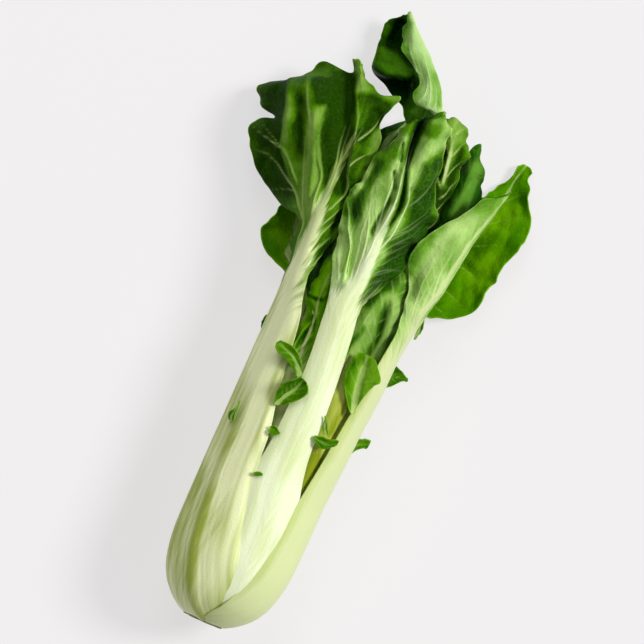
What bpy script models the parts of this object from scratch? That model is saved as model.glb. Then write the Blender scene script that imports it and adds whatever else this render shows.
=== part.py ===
"""A head of bok choy lying on its side, as separate leaves round a short cut root.

Every leaf is one solid: a thick stalk that wraps part of the bulb, running out into a thin
blade.  A leaf is written as a row of ribs, from the root to the tip, and a rib is a line of
points from one edge of the leaf to the other, seen from the leaf's back.  The lists are in
millimetres and the meshes in metres; +Y runs from the root to the tips and +Z is up.
"""

import math
from collections import namedtuple

import bmesh
import bpy
import numpy as np

MM = 0.001

# --- The bulb, which the stalks wrap: its axis, and its radius at each y ---------------
AXIS_X = 4.3
AXIS_Z = 30.52
BULB = ((-151.2, 10.0), (-150.3, 11.0), (-146, 17.5), (-140, 23.2), (-134, 26.4),
        (-122, 29.5), (-104, 30.5), (-60, 30.5), (20, 30.5))
CENTRE_X = -2.3

# --- Thickness and faces ----------------------------------------------------------------
BLADE = 1.0
STALK_EDGE = 2.0
ROOT_TAPER = 20.0
NECK_FROM = 5.0
NECK_TO = 48.0
COLUMNS = (-1, -0.62, -0.25, 0, 0.25, 0.62, 1)
WIDE_COLUMNS = (-1, -0.78, -0.5, -0.22, 0, 0.22, 0.5, 0.78, 1)
FINE = 9

# --- How the blades sag under their weight, and settle on each other --------------------
SAG = 0.0009
SAG_FROM = 20.0
CELL = 1.0
LOW_CORNER = (-90.0, -165.0)
CELLS = (176, 330)
LEAF_GAP = 1.2
SPREAD = 5
SETTLE_FROM = -20.0
SETTLE_FULL = 14.0

Leaf = namedtuple("Leaf", "ribs stalk colour columns settle", defaults=(COLUMNS, "drape"))


def spline(knots, values, at):
    """Points on a smooth curve through the values, which stand at the knots."""
    knots = np.asarray(knots, float)
    values = np.asarray(values, float)
    step = np.diff(knots).reshape(-1, *[1] * (values.ndim - 1))
    slope = np.diff(values, axis=0) / step
    inner = (slope[1:] + slope[:-1]) / 2
    if len(inner):
        ends = (1.5 * slope[:1] - 0.5 * inner[:1], 1.5 * slope[-1:] - 0.5 * inner[-1:])
    else:
        ends = (slope, slope)
    tangent = np.concatenate([ends[0], inner, ends[1]])
    at = np.clip(at, knots[0], knots[-1])
    k = np.clip(np.searchsorted(knots, at, side="right") - 1, 0, len(step) - 1)
    t = ((at - knots[k]).reshape(-1, *[1] * (values.ndim - 1))) / step[k]
    start = 2 * t**3 - 3 * t**2 + 1
    return (start * values[k] + (1 - start) * values[k + 1]
            + (t**3 - 2 * t**2 + t) * step[k] * tangent[k]
            + (t**3 - t**2) * step[k] * tangent[k + 1])


def across(points):
    """A rib's points as FINE points, evenly spread from edge to edge."""
    return spline(np.linspace(-1, 1, len(points)), points, np.linspace(-1, 1, FINE))


def rib(*points):
    """A rib through (x, y, z) points."""
    return across(points)


def wrap(y, *points):
    """A rib round the bulb, through (degrees, depth under the bulb's skin) points."""
    ys, radii = zip(*BULB)
    radius = spline(ys, radii, np.array([y]))[0]
    degrees, depth = across(points).T
    angle = np.radians(degrees)
    return np.stack([AXIS_X + (radius - depth) * np.cos(angle), np.full(FINE, y),
                     AXIS_Z + (radius - depth) * np.sin(angle)], axis=1)


def smooth(a, b, x):
    t = np.clip((x - a) / (b - a), 0, 1)
    return t * t * (3 - 2 * t)


# --- The leaves -------------------------------------------------------------------------
WHITE_STALK = (0.80, 0.86, 0.60)
GREEN = (0.12, 0.25, 0.03)
DEEP_GREEN = (0.05, 0.13, 0.02)
PALE_GREEN = (0.36, 0.52, 0.16)
BRIGHT_GREEN = (0.16, 0.34, 0.02)


def leaf_left():
    return Leaf([
        wrap(-150.3, (225, 0), (155, 0), (88, 0)),
        wrap(-146, (225, 0), (153, 0), (81, 0)),
        wrap(-140, (225, 0), (150, 0), (75, 0)),
        wrap(-133, (225, 0), (149, 0), (74, 0)),
        wrap(-120, (225, 0), (153, 0), (81, 0)),
        wrap(-100, (225, 0), (158, 0), (91.5, 0)),
        wrap(-78, (225, 0), (163, 0), (101, 0)),
        wrap(-58, (224, 0), (164, 0), (104.3, 0)),
        wrap(-38, (218, 0), (164, 0), (110, 0)),
        wrap(-18, (210, 0), (163, 0), (116, 0)),
        wrap(0, (203, 0), (164, 0), (124.6, 0)),
        rib((-26.5, 12, 25), (-27, 12, 36), (-23.5, 12, 45), (-19, 12, 49), (-15.3, 12, 50)),
        rib((-28, 21, 29), (-27, 21, 39), (-23, 21, 46.5), (-18.7, 21, 49.3), (-16, 21, 48.5)),
        rib((-30, 31, 29), (-27.3, 30, 41), (-22.7, 29, 48), (-18, 31, 49), (-13.5, 33, 45)),
        rib((-34, 41.5, 27), (-28.5, 38, 41), (-23, 36, 49), (-18, 39, 49), (-11.7, 43, 44)),
        rib((-47, 47, 23), (-34, 47, 39), (-23.5, 44, 49.5), (-18, 48, 48.5), (-12, 51, 43)),
        rib((-60, 56, 21), (-41, 56, 39), (-24, 52, 50), (-19, 56, 48), (-13.5, 58, 43)),
        rib((-69.3, 65, 20), (-46, 65, 40), (-24, 60, 50), (-18, 65, 47), (-12, 67, 43)),
        rib((-68, 75.5, 20), (-49, 73, 43), (-24, 68, 49.5), (-17, 73, 46.5), (-9.5, 75, 42)),
        rib((-72.5, 82, 19), (-52, 83, 45), (-23.7, 78, 48.5), (-17, 82, 46), (-10.3, 85, 41)),
        rib((-75, 90.5, 18), (-53, 92, 45), (-23.5, 88, 47.5), (-18, 93, 46), (-13.5, 95, 42)),
        rib((-62.5, 97, 25), (-52, 99, 42), (-25, 95, 46.5), (-19, 100, 45), (-12, 103, 42)),
        rib((-58, 105, 26), (-47, 106, 37), (-28, 101, 45.5), (-21, 106, 44), (-11, 110, 40)),
        rib((-50, 112.7, 26), (-41, 111, 32), (-31, 108, 43), (-25, 109, 42), (-18, 110, 38)),
        rib((-37.5, 114, 31), (-36, 115.5, 35), (-34, 115.5, 39), (-31, 114, 38), (-27, 110, 35)),
        rib((-37.3, 118, 36), (-36.8, 119.2, 36.5), (-36, 119.8, 37), (-35, 119.3, 36.5),
            (-33.6, 118, 36)),
    ], stalk=5.5, colour=GREEN, columns=WIDE_COLUMNS)


def leaf_middle():
    return Leaf([
        wrap(-143, (88, 4.6), (73, 3.8), (58, 4.6)),
        wrap(-134, (86, 4.3), (71, 3.3), (56, 4.3)),
        wrap(-127, (87, 4.2), (79, 3.4), (71, 1.8), (63.5, 3.4), (56, 4.2)),
        wrap(-120, (89, 4.1), (82, 3.4), (72, 0.8), (60.5, 3.4), (54, 4.1)),
        wrap(-110, (94, 4.1), (87.5, 3.3), (73, 0.5), (57, 3.3), (50, 4.1)),
        wrap(-100, (98, 4.0), (92.5, 3.3), (74, 0.4), (54, 3.3), (48, 4.0)),
        wrap(-90, (103, 3.9), (97.5, 3.2), (76, 0.3), (52.7, 3.2), (47, 3.9)),
        wrap(-80, (106, 3.6), (101.5, 3), (78, 0.2), (51, 3), (46, 3.7)),
        wrap(-70, (101, 2.2), (93, 0.6), (78, 0.1), (62, 0.6), (54.6, 2.2)),
        wrap(-60, (100.3, 1.8), (79, 0), (56.5, 1.8)),
        wrap(-40, (98.6, 1.8), (79, 0), (59.2, 1.8)),
        wrap(-20, (98.6, 1.8), (81, 0), (63.7, 1.8)),
        wrap(0, (101, 1.8), (85, 0), (69.2, 1.8)),
        wrap(12, (101, 2.0), (86.5, 0.3), (72, 2.4)),
        rib((-3, 24, 55), (2, 22, 59), (6.5, 21, 60), (10.5, 20, 58.5), (13.6, 17, 55)),
        rib((-8, 31, 51), (0, 30, 57), (7, 29, 59.5), (13, 27, 57), (18.5, 26, 51)),
        rib((-12, 43, 49), (-2, 41, 56), (6.5, 39, 59), (15, 37, 55), (23.5, 38, 47)),
        rib((-15, 56, 48), (-3, 52, 55), (6.5, 49, 58), (16, 48, 54), (24.5, 47, 45)),
        rib((-14, 63, 47), (-3.5, 62, 54), (6.5, 59, 57), (18, 58, 53), (27, 61, 44)),
        rib((-11, 75, 46), (-2.5, 74, 53), (7, 70, 55), (18, 69, 52), (26, 71, 44)),
        rib((-8.5, 87, 45), (-1.5, 86, 52), (6.5, 82, 53), (15, 82, 51), (20.5, 85, 45)),
        rib((-4.5, 97, 45), (-1, 98, 50), (5.5, 94, 50), (12, 95, 50), (18.3, 99, 46)),
        rib((-3.2, 103, 45), (0, 104.5, 47), (5.5, 103, 47), (11, 105, 48), (18, 106.5, 46)),
        rib((5, 107, 44), (8, 109, 45), (10, 110.5, 46), (13, 110.5, 46), (16, 109, 45)),
        rib((9, 112, 43), (10, 113.3, 44), (11, 114, 44), (12, 113.3, 44), (13.5, 112, 43.5)),
    ], stalk=4.0, colour=PALE_GREEN)


def leaf_right():
    return Leaf([
        wrap(-150.3, (84, 0), (15, 0), (-55, 0)),
        wrap(-146, (77.8, 0), (12, 0), (-55, 0)),
        wrap(-140, (70.6, 0), (8, 0), (-55, 0)),
        wrap(-133, (67.3, 0), (6, 0), (-55, 0)),
        wrap(-120, (62.4, 0), (4, 0), (-55, 0)),
        wrap(-100, (55.7, 0), (0, 0), (-55, 0)),
        wrap(-80, (52.2, 0), (-1, 0), (-54, 0)),
        wrap(-60, (48, -1.2), (-1, -1.2), (-50, -1.2)),
        wrap(-40, (43.5, -2.2), (-1, -2.2), (-45, -2.2)),
        wrap(-20, (38.7, -3.7), (1, -3.7), (-36, -3.7)),
        wrap(0, (35.6, -4.2), (5, -4.2), (-26, -4.2)),
        rib((33, 11, 48), (37, 11, 44), (39.8, 11, 37), (40, 11, 30), (38.5, 11, 24)),
        rib((31.5, 22, 45), (34.5, 21, 47), (39, 20, 43.5), (41.7, 20, 36), (38, 21, 29)),
        rib((29, 30, 45), (35, 30, 47), (41.5, 29, 43.5), (43.3, 29, 36), (38, 30, 29)),
        rib((24, 43, 45), (33.5, 41, 47), (43.4, 39, 43), (45.5, 40, 35.5), (38, 41, 28)),
        rib((25.5, 55, 45), (35, 53, 46), (45, 50, 42.5), (46.8, 51, 35), (38, 53, 27)),
        rib((32, 64, 44), (39, 63, 45), (46.5, 60, 42), (48.2, 62, 34), (40, 64, 27)),
        rib((38, 74, 43), (43, 73, 44), (49, 70, 41), (50.6, 72, 34), (43, 75, 28)),
        rib((44.5, 83, 42), (48, 82, 42.5), (51.7, 80, 40), (52.8, 81, 34), (47, 83, 29)),
        rib((50, 86.8, 40), (52, 87.2, 40), (53.6, 87, 39), (54, 87, 35), (50, 87, 31)),
        rib((53.6, 90.4, 38), (54.4, 91.5, 38), (55, 92, 37.5), (55, 91.4, 36), (53.4, 90.3, 34)),
    ], stalk=5.5, colour=PALE_GREEN, columns=WIDE_COLUMNS)


def leaf_tall():
    return Leaf([
        wrap(-141, (94, 8), (77, 8), (60, 8)),
        wrap(-120, (93, 7.6), (77, 7.6), (61, 7.6)),
        wrap(-60, (92, 7.4), (77, 7.4), (62, 7.4)),
        wrap(0, (90, 8), (77, 8), (64, 8)),
        rib((-1, 20, 46), (3.5, 20, 49), (8, 20, 50), (12, 20, 48), (15, 20, 45)),
        rib((-5, 42, 38), (1, 41, 43), (8, 40, 45), (14, 41, 42), (19, 42, 36)),
        rib((-9, 62, 33), (0, 61, 39), (8, 60, 42), (15, 61, 38), (20, 62, 32)),
        rib((-9, 82, 32), (1, 81, 38), (9, 80, 40), (14, 81, 35), (10, 82, 26)),
        rib((-6, 97, 35), (2, 97, 39), (11, 96, 38), (12, 97, 31), (-2, 98, 22)),
        rib((-5, 108, 37), (3, 108, 40), (13, 106, 37), (8, 106, 28), (-8, 107, 20)),
        rib((-5.8, 115, 37), (2, 115, 40), (9.5, 115, 36), (2, 114, 26), (-17, 113, 18)),
        rib((-6, 121, 37), (0, 121, 40), (6.5, 121, 36), (-6, 120, 25), (-28, 119.5, 17)),
        rib((-9, 125, 37), (-3, 127, 40), (2, 127, 36), (-10, 127, 25), (-30, 127, 18)),
        rib((-18.5, 132, 37), (-11, 134, 39), (-4, 133, 36), (-15, 133, 26), (-31, 135, 20)),
        rib((-22, 138, 36), (-17, 140, 38), (-11, 140, 35), (-19, 141, 28), (-31.5, 141.5, 22)),
        rib((-23, 144, 35), (-21, 146, 36), (-17.5, 145.5, 34), (-21, 145.5, 30), (-28, 146, 25)),
        rib((-23.7, 149.6, 33), (-23.3, 150.8, 33.5), (-22.6, 151.2, 33), (-23, 150.3, 31),
            (-24.6, 149, 29.5)),
    ], stalk=4.0, colour=PALE_GREEN)


def leaf_inner_left():
    return Leaf([
        wrap(-138, (150, 13), (125, 13), (98, 13)),
        wrap(-120, (150, 13), (125, 13), (98, 13)),
        wrap(-60, (150, 13), (125, 13), (98, 13)),
        wrap(0, (148, 13), (125, 13), (102, 13)),
        rib((-15, 20, 33), (-12, 20, 36), (-7, 20, 38), (-3, 20, 38), (1, 20, 37)),
        rib((-19, 41, 27), (-14, 40, 30), (-8, 40, 31), (-1, 41, 30), (5, 42, 28)),
        rib((-22, 61, 21), (-16, 60, 24), (-9, 60, 25), (0, 61, 24), (7, 62, 21)),
        rib((-21, 81, 16), (-16, 80, 18), (-9, 80, 19), (-2, 81, 18), (6, 82, 16)),
        rib((-15, 92, 14), (-12, 92, 16), (-8, 92, 17), (-3, 93, 16), (4, 94, 14)),
        rib((-8.5, 98.7, 13), (-6.5, 100, 14), (-3, 102, 15), (1, 103, 14), (5, 103, 13)),
        rib((-4.6, 103.4, 12), (-3, 105, 13), (-1, 106, 13), (1, 106, 13), (3, 105, 12)),
    ], stalk=3.5, colour=DEEP_GREEN)


def leaf_inner_right():
    return Leaf([
        wrap(-138, (92, 13), (72, 13), (52, 13)),
        wrap(-120, (92, 13), (72, 13), (52, 13)),
        wrap(-60, (92, 13), (72, 13), (52, 13)),
        wrap(0, (90, 14), (72, 14), (54, 14)),
        rib((6, 20, 39), (11, 20, 41), (16, 20, 41.5), (20, 20, 39), (23, 20, 35)),
        rib((9, 41, 33), (15, 40, 37), (20, 40, 38), (24, 41, 35), (27, 42, 30)),
        rib((13, 61, 33), (18, 60, 37), (24, 60, 39), (27, 61, 36), (29, 62, 31)),
        rib((17, 77, 36), (21, 76, 40), (24.7, 75, 41), (27, 77, 38), (28.5, 78, 33)),
        rib((18, 91, 38), (21, 90, 41), (22.7, 89, 42), (25.5, 91, 39), (28, 93, 34)),
        rib((17.5, 103, 39), (19, 102, 41), (20.3, 101, 41.5), (24, 103, 38), (28.5, 103, 34)),
        rib((14, 111, 39), (16, 110.5, 40), (18, 109, 40), (22, 109.5, 38), (25, 107.5, 35)),
        rib((15, 113, 38), (16.5, 113.3, 38.5), (18, 113.1, 38.5), (21, 112, 37.5),
            (24, 111, 36)),
    ], stalk=3.5, colour=GREEN)


def leaf_pointed():
    return Leaf([
        wrap(-138, (48, 13), (27, 13), (5, 13)),
        wrap(-120, (48, 13), (27, 13), (5, 13)),
        wrap(-60, (48, 13), (27, 13), (5, 13)),
        wrap(0, (46, 13.5), (27, 13.5), (8, 13.5)),
        rib((18, 20, 35), (21, 20, 37), (25, 20, 36), (28, 20, 33), (30, 20, 29)),
        rib((19, 41, 29), (24, 40, 33), (29, 40, 33), (33, 41, 30), (36, 42, 26)),
        rib((24, 61, 25), (28, 60, 29), (33, 60, 30), (38, 61, 28), (42, 62, 24)),
        rib((25.5, 76, 26), (30, 76, 30), (34.5, 76, 31), (40, 77, 29), (44, 78, 25)),
        rib((27.5, 89, 27), (30.5, 90, 30), (33.5, 90, 31), (37.5, 90, 29), (41, 91, 25)),
        rib((28.5, 99, 27), (31, 100, 29), (33.3, 100, 30), (35.5, 99, 29), (37.2, 98.5, 27)),
        rib((31.3, 106, 28), (32, 106.8, 28.5), (32.6, 107.1, 28.5), (33.3, 106.5, 28),
            (34.2, 105.3, 27.5)),
    ], stalk=3.5, colour=DEEP_GREEN)


def leaf_under_right():
    return Leaf([
        wrap(-141, (-15, 8), (-45, 8), (-75, 8)),
        wrap(-120, (-15, 7.6), (-45, 7.6), (-75, 7.6)),
        wrap(-40, (-12, 7.4), (-42, 7.4), (-72, 7.4)),
        wrap(-20, (-10, 6), (-38, 6), (-66, 6)),
        wrap(0, (-14, 3.5), (-36, 3.5), (-60, 3.5)),
        rib((37, 14, 13), (35, 14, 10), (32, 14, 8), (28, 14, 7), (24, 14, 8)),
        rib((46, 23, 9), (41, 24, 7), (37, 25, 6), (31, 26, 6.5), (25, 28, 10)),
        rib((60, 33, 8), (51, 34, 6), (41, 34, 5), (33, 36, 7), (25, 38, 12)),
        rib((65, 47, 10), (55, 47, 6), (43.5, 46, 4), (34, 48, 6), (25, 50, 13)),
        rib((64.5, 59, 12), (56, 60, 6), (46, 59, 3), (36, 61, 6), (28, 63, 13)),
        rib((70.8, 73, 14), (59, 72, 7), (48.5, 71, 2.5), (39, 74, 6), (31, 76, 12)),
        rib((68, 84, 13), (60, 84, 7), (51.5, 82, 2.5), (45, 83, 6), (40, 84, 10)),
        rib((63, 93, 11), (59, 93, 7), (54, 91, 3.5), (50.5, 90, 5), (47.5, 89, 8)),
        rib((59.7, 99.5, 10), (57.5, 99.5, 8), (55, 98, 5.5), (52.5, 98, 6), (51, 97.5, 8)),
        rib((61, 103.5, 10), (59.5, 105.5, 9.5), (57.5, 106, 8.5), (56, 106, 9), (54, 104.8, 9.5)),
    ], stalk=4.0, colour=BRIGHT_GREEN)


def leaf_under_left():
    return Leaf([
        wrap(-141, (250, 8), (222, 8), (195, 8)),
        wrap(-120, (250, 7.6), (222, 7.6), (195, 7.6)),
        wrap(-40, (248, 7.4), (220, 7.4), (193, 7.4)),
        wrap(-20, (242, 6), (218, 6), (194, 6)),
        wrap(0, (238, 3.5), (217, 3.5), (196, 4)),
        rib((-11, 12, 7), (-16, 12, 7), (-20, 12, 9), (-23, 12, 12), (-24.5, 12, 16)),
        rib((-9, 19, 9), (-18, 19, 6), (-26, 18.5, 6), (-33, 18, 9), (-39, 18.5, 12)),
        rib((-8, 29, 12), (-18, 28, 6), (-28, 28, 4.5), (-37, 28, 7), (-45.5, 28, 12)),
        rib((-10, 40, 13), (-20, 39, 6), (-30, 38, 4), (-37, 38, 6), (-43, 38.5, 11)),
        rib((-15, 52, 12), (-24, 51, 6), (-32, 50, 4), (-37, 49, 6), (-41, 47.5, 9)),
        rib((-22, 63, 10), (-29, 62, 6), (-35, 61, 4.5), (-40, 60, 6), (-45, 59, 9)),
        rib((-30, 74, 9), (-34, 73.5, 6.5), (-38, 73, 5.5), (-42, 72, 6.5), (-46, 70, 9)),
        rib((-37, 80, 9), (-38.5, 80.7, 8), (-40, 81, 8), (-41.2, 80.5, 8), (-43, 79, 9)),
    ], stalk=4.0, colour=DEEP_GREEN)


def leaf_under_middle():
    return Leaf([
        wrap(-150.3, (-62, 0), (-95, 0), (-128, 0)),
        wrap(-146, (-60, 1), (-95, 0), (-130, 1)),
        wrap(-138, (-52, 3.8), (-95, 0), (-138, 3.8)),
        wrap(-120, (-49, 3.6), (-72, 0.8), (-95, 0), (-118, 0.8), (-141, 3.6)),
        wrap(-80, (-49, 3.6), (-72, 0.8), (-95, 0), (-118, 0.8), (-141, 3.6)),
        wrap(-55, (-54, 2), (-95, 0), (-136, 2)),
        wrap(-20, (-62, 1), (-95, 0), (-128, 1)),
        wrap(0, (-72, 0.5), (-93, 0), (-114, 0.5)),
        rib((16, 14, 2.5), (10, 14, 0.8), (3, 14, 0.2), (-3, 14, 0.8), (-9, 14, 2.5)),
        rib((24, 29, 5), (13, 28, 1.5), (2, 27, 0.5), (-9, 28, 1.5), (-19, 29, 5)),
        rib((28, 44, 7), (15, 43, 2.5), (1, 41, 0.8), (-13, 43, 2.5), (-25, 44, 7)),
        rib((27, 58, 7), (14, 57, 2.5), (0, 55, 0.8), (-14, 57, 2.5), (-26, 58, 7)),
        rib((20, 71, 6), (10, 71, 2.5), (-1, 70, 1), (-12, 71, 2.5), (-21, 71, 6)),
        rib((6, 82, 5), (2, 84, 3.5), (-2, 85, 3), (-6, 84, 3.5), (-9, 82, 5)),
    ], stalk=5.5, colour=GREEN, columns=WIDE_COLUMNS)


def leaf_gap_left():
    return Leaf([
        wrap(-141, (131, 8), (114, 8), (98, 8)),
        wrap(-120, (131, 7.6), (114, 7.6), (98, 7.6)),
        wrap(-60, (130, 7.4), (113, 7.4), (97, 7.4)),
        wrap(-20, (128, 7), (113, 6.8), (98, 7)),
        wrap(0, (130, 7.4), (115, 7), (99, 7.4)),
        rib((-13.5, 10, 45), (-10.5, 10, 48.5), (-7.5, 10, 50), (-4.5, 10, 50), (-2, 10, 49)),
        rib((-12.5, 18, 42), (-10, 19, 45), (-7.5, 20, 46), (-5, 20, 45.5), (-2.5, 20, 44)),
        rib((-11, 28, 39), (-9, 30, 41), (-7, 31, 42), (-5, 30, 41), (-3, 29, 39)),
        rib((-9, 36, 37), (-8, 38, 38), (-7.3, 38.7, 38), (-6.6, 38, 38), (-5.6, 36, 37)),
    ], stalk=3.5, colour=BRIGHT_GREEN)


def leaf_gap_right():
    return Leaf([
        wrap(-141, (57, 8), (40, 8), (23, 8)),
        wrap(-120, (57, 7.6), (40, 7.6), (23, 7.6)),
        wrap(-80, (57, 7), (40, 6.8), (23, 7)),
        wrap(-60, (55, 6.6), (40, 6), (24, 6.6)),
        wrap(-20, (57, 6.6), (42, 5.6), (26, 6.6)),
        wrap(0, (58, 6.6), (43, 5.6), (26, 6)),
        rib((14.5, 10, 50), (18, 10, 51.5), (22, 9, 50.5), (26, 9, 47), (29, 8, 42)),
        rib((15, 21, 47), (19, 21, 49), (23, 20, 48), (27, 19, 45), (29.5, 18, 40)),
        rib((17, 31, 43), (21, 30, 45), (25, 29, 45), (28, 28, 42), (31, 26, 38)),
        rib((20, 40, 40), (23, 40, 41), (26, 39, 41), (29, 38, 39), (31, 36, 37)),
        rib((24, 46, 39), (25.5, 47, 39.5), (27, 47.3, 39.5), (28.5, 46.4, 39), (30, 44, 38)),
    ], stalk=3.5, colour=PALE_GREEN)


def small_leaf():
    return Leaf([
        rib((27.3, -33, 56), (28.5, -33.5, 55.5), (29.5, -33, 55)),
        rib((22, -26, 58), (27, -26, 56), (29.8, -26, 56)),
        rib((18.3, -18, 60), (25.5, -18, 57), (32.5, -18, 57)),
        rib((18.7, -11, 60), (24.7, -11, 58), (34.5, -14, 56)),
        rib((20, -6, 60), (24, -5.5, 59), (28.5, -6.2, 59)),
    ], stalk=1.2, colour=BRIGHT_GREEN, settle="drop")


# A leaflet is four ribs of three points: its foot, two across its blade, and its tip.
LEAFLETS = {
    "leaflet_long": [
        ((-1.2, -28.3, 60), (-0.4, -27.4, 60), (0.3, -26.4, 60)),
        ((-9, -23, 61), (-7, -20.6, 60), (-4.5, -19.2, 61)),
        ((-15.5, -20.5, 60), (-12.5, -18.4, 59), (-9.5, -16, 60.5)),
        ((-17.3, -17.7, 58), (-16.7, -16.6, 58), (-15.6, -15.7, 58.5))],
    "leaflet_cup": [
        ((-6.6, -44.5, 58), (-5.8, -44.2, 58), (-5, -43.8, 58)),
        ((-7, -37, 61), (-3.4, -38.3, 58.5), (0, -40.3, 61)),
        ((-5.3, -32.5, 63), (-0.5, -33.4, 59.5), (5.5, -34, 63)),
        ((-1, -28.4, 63), (1.3, -28, 62), (3.8, -29.6, 63))],
    "leaflet_bead_upper": [
        ((-3.8, -56.5, 60), (-3.4, -55.3, 60), (-3.7, -54, 60)),
        ((-2, -57.6, 61), (-1.6, -55, 60), (-2.2, -52.6, 61)),
        ((0, -57.2, 61), (0.3, -55.2, 60.4), (-0.4, -53.4, 61)),
        ((1.3, -56, 61), (1.6, -55.5, 61), (1.3, -54.9, 61))],
    "leaflet_bead_lower": [
        ((-2, -77.8, 61), (-1.8, -77, 61), (-1.9, -76.2, 61)),
        ((-0.6, -78, 61.5), (-0.2, -76.6, 61), (-0.6, -75.4, 61.5)),
        ((1, -77.6, 61.5), (1.2, -76.2, 61), (0.8, -75.2, 61.5)),
        ((2.1, -76.8, 61.5), (2.3, -76.2, 61.5), (2, -75.7, 61.5))],
    "leaflet_flank_left": [
        ((-21.7, -49.3, 50), (-21.1, -49, 50), (-20.6, -49.4, 50.5)),
        ((-22.4, -53.5, 49.5), (-21.3, -53.7, 50), (-20.6, -54, 51)),
        ((-23.8, -56.4, 48), (-22, -57, 49.5), (-20.3, -57, 51)),
        ((-21.7, -60, 49), (-21, -60.3, 49.5), (-20.3, -60, 50.5))],
    "leaflet_sprout": [
        ((16.4, -51, 60), (16.6, -50.2, 60), (17, -49.4, 60)),
        ((20, -53.7, 60.5), (20.6, -51.2, 59), (21, -48.6, 60)),
        ((24.2, -53.4, 58.5), (24.6, -50.8, 58), (24.6, -48, 59)),
        ((27.9, -49.7, 58), (28.2, -48.3, 58), (27.8, -46.9, 58.5))],
    "leaflet_spike": [
        ((22.6, -47.2, 59), (21.2, -46.9, 59), (20, -47.6, 59)),
        ((21.6, -44.8, 59.5), (20.2, -44.5, 59), (18.8, -44.8, 59.5)),
        ((19.5, -41.5, 60), (18.8, -41.4, 60), (18, -41.6, 60)),
        ((17.9, -39.4, 60.5), (17.5, -39.2, 60.5), (17.1, -39.5, 60.5))],
}

# These stand on the bunch's flanks, so they keep the height that is written here.
SIDE_LEAFLETS = {
    "leaflet_right_middle": [
        ((38.6, -17.2, 20), (38.9, -10.5, 18.5), (39.3, -3.8, 20)),
        ((41.6, -13.5, 19), (41.3, -9.8, 17.5), (41.5, -5.6, 19)),
        ((44.3, -10.5, 18), (44.3, -8.8, 17.3), (44.2, -7, 18)),
        ((46.2, -9.2, 17), (46.7, -8.5, 17), (46, -7.8, 17.2))],
    "leaflet_right_low": [
        ((36.9, -53.2, 22), (37.5, -47.5, 20.5), (37.8, -43.2, 21.5)),
        ((38.1, -49, 21), (38.9, -45.8, 20), (39, -42.4, 21)),
        ((40.2, -46.8, 20), (40.6, -44.3, 19.5), (40.4, -41.8, 20.2)),
        ((41.6, -46, 19), (42.2, -43.8, 19), (42, -41.5, 19.4))],
    "leaflet_right_high": [
        ((42, 18.8, 24), (41.6, 20.3, 24), (41.2, 19.2, 24)),
        ((43, 16.6, 23.4), (42, 17, 23), (41.4, 16.6, 23.4)),
        ((42.7, 13.7, 22.6), (41.9, 13.6, 22.2), (41.3, 13.6, 22.6)),
        ((41.6, 10.4, 22), (41.3, 10, 22), (41, 10.6, 22))],
    "leaflet_left_side": [
        ((-27.4, -6.6, 22), (-26.9, -11.8, 21), (-26, -17, 22)),
        ((-27.6, -7.4, 21.4), (-27.3, -11.8, 20.4), (-26.3, -16, 21.2)),
        ((-27.7, -8.6, 20.6), (-27.6, -11.8, 19.8), (-26.6, -14.8, 20.4)),
        ((-27.6, -10, 20), (-27.5, -11.6, 19.6), (-27, -13.4, 20))],
}


# --- From ribs to a solid ---------------------------------------------------------------
def surface(ribs, u, t):
    """Points of the leaf's back at u, -1 to 1 from edge to edge, and t, 0 to 1 from the root."""
    ribs = np.array(ribs)
    length = np.linalg.norm(np.diff(ribs, axis=0), axis=2).mean(axis=1)
    knots = np.concatenate([[0], np.cumsum(length)])
    along = np.interp(t * (len(ribs) - 1), np.arange(len(ribs)), knots)
    lines = spline(knots, ribs, along)
    spread = np.linspace(-1, 1, FINE)
    found = [spline(spread, line, np.array([at]))[0] for line, at in zip(lines, u)]
    return np.array(found)


def outward(ribs, u, t):
    """The direction that the leaf's back faces."""
    step = 0.01
    side = surface(ribs, np.clip(u + step, -1, 1), t) - surface(ribs, np.clip(u - step, -1, 1), t)
    up = surface(ribs, u, np.clip(t + step, 0, 1)) - surface(ribs, u, np.clip(t - step, 0, 1))
    facing = np.cross(side, up)
    return facing / np.linalg.norm(facing, axis=1, keepdims=True)


def thickness(leaf, u, y):
    """A stalk is thick in its middle and thin at its edges, and thins out into the blade."""
    foot = leaf.ribs[0][0][1]
    root = 0.45 + 0.55 * smooth(foot, foot + ROOT_TAPER, y)
    stalk = STALK_EDGE + (leaf.stalk - STALK_EDGE) * (1 - np.abs(u) ** 3)
    rest = smooth(NECK_FROM, NECK_TO, y)
    return np.maximum(BLADE, root * stalk * (1 - rest) + BLADE * rest)


def leaf_solid(leaf):
    """The leaf's bmesh, in millimetres: a grid with a second wall, laid along the ribs."""
    bm = bmesh.new()
    across_faces = len(leaf.columns) - 1
    bmesh.ops.create_grid(bm, x_segments=across_faces, y_segments=len(leaf.ribs) - 1, size=1)
    inner = bmesh.ops.extrude_face_region(bm, geom=bm.faces[:], use_keep_orig=True)
    for vert in inner["geom"]:
        if isinstance(vert, bmesh.types.BMVert):
            vert.co.z = -1
    bmesh.ops.recalc_face_normals(bm, faces=bm.faces[:])
    place = np.array([vert.co for vert in bm.verts])
    u = np.interp((place[:, 0] + 1) / 2 * across_faces, range(across_faces + 1), leaf.columns)
    t = (place[:, 1] + 1) / 2
    points = surface(leaf.ribs, u, t)
    thick = thickness(leaf, u, points[:, 1])
    points = points + outward(leaf.ribs, u, t) * (place[:, 2] * thick)[:, None]
    points[:, 2] -= SAG * np.maximum(points[:, 1] - SAG_FROM, 0) ** 2
    for vert, point in zip(bm.verts, points):
        vert.co = point
    return bm


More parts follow.
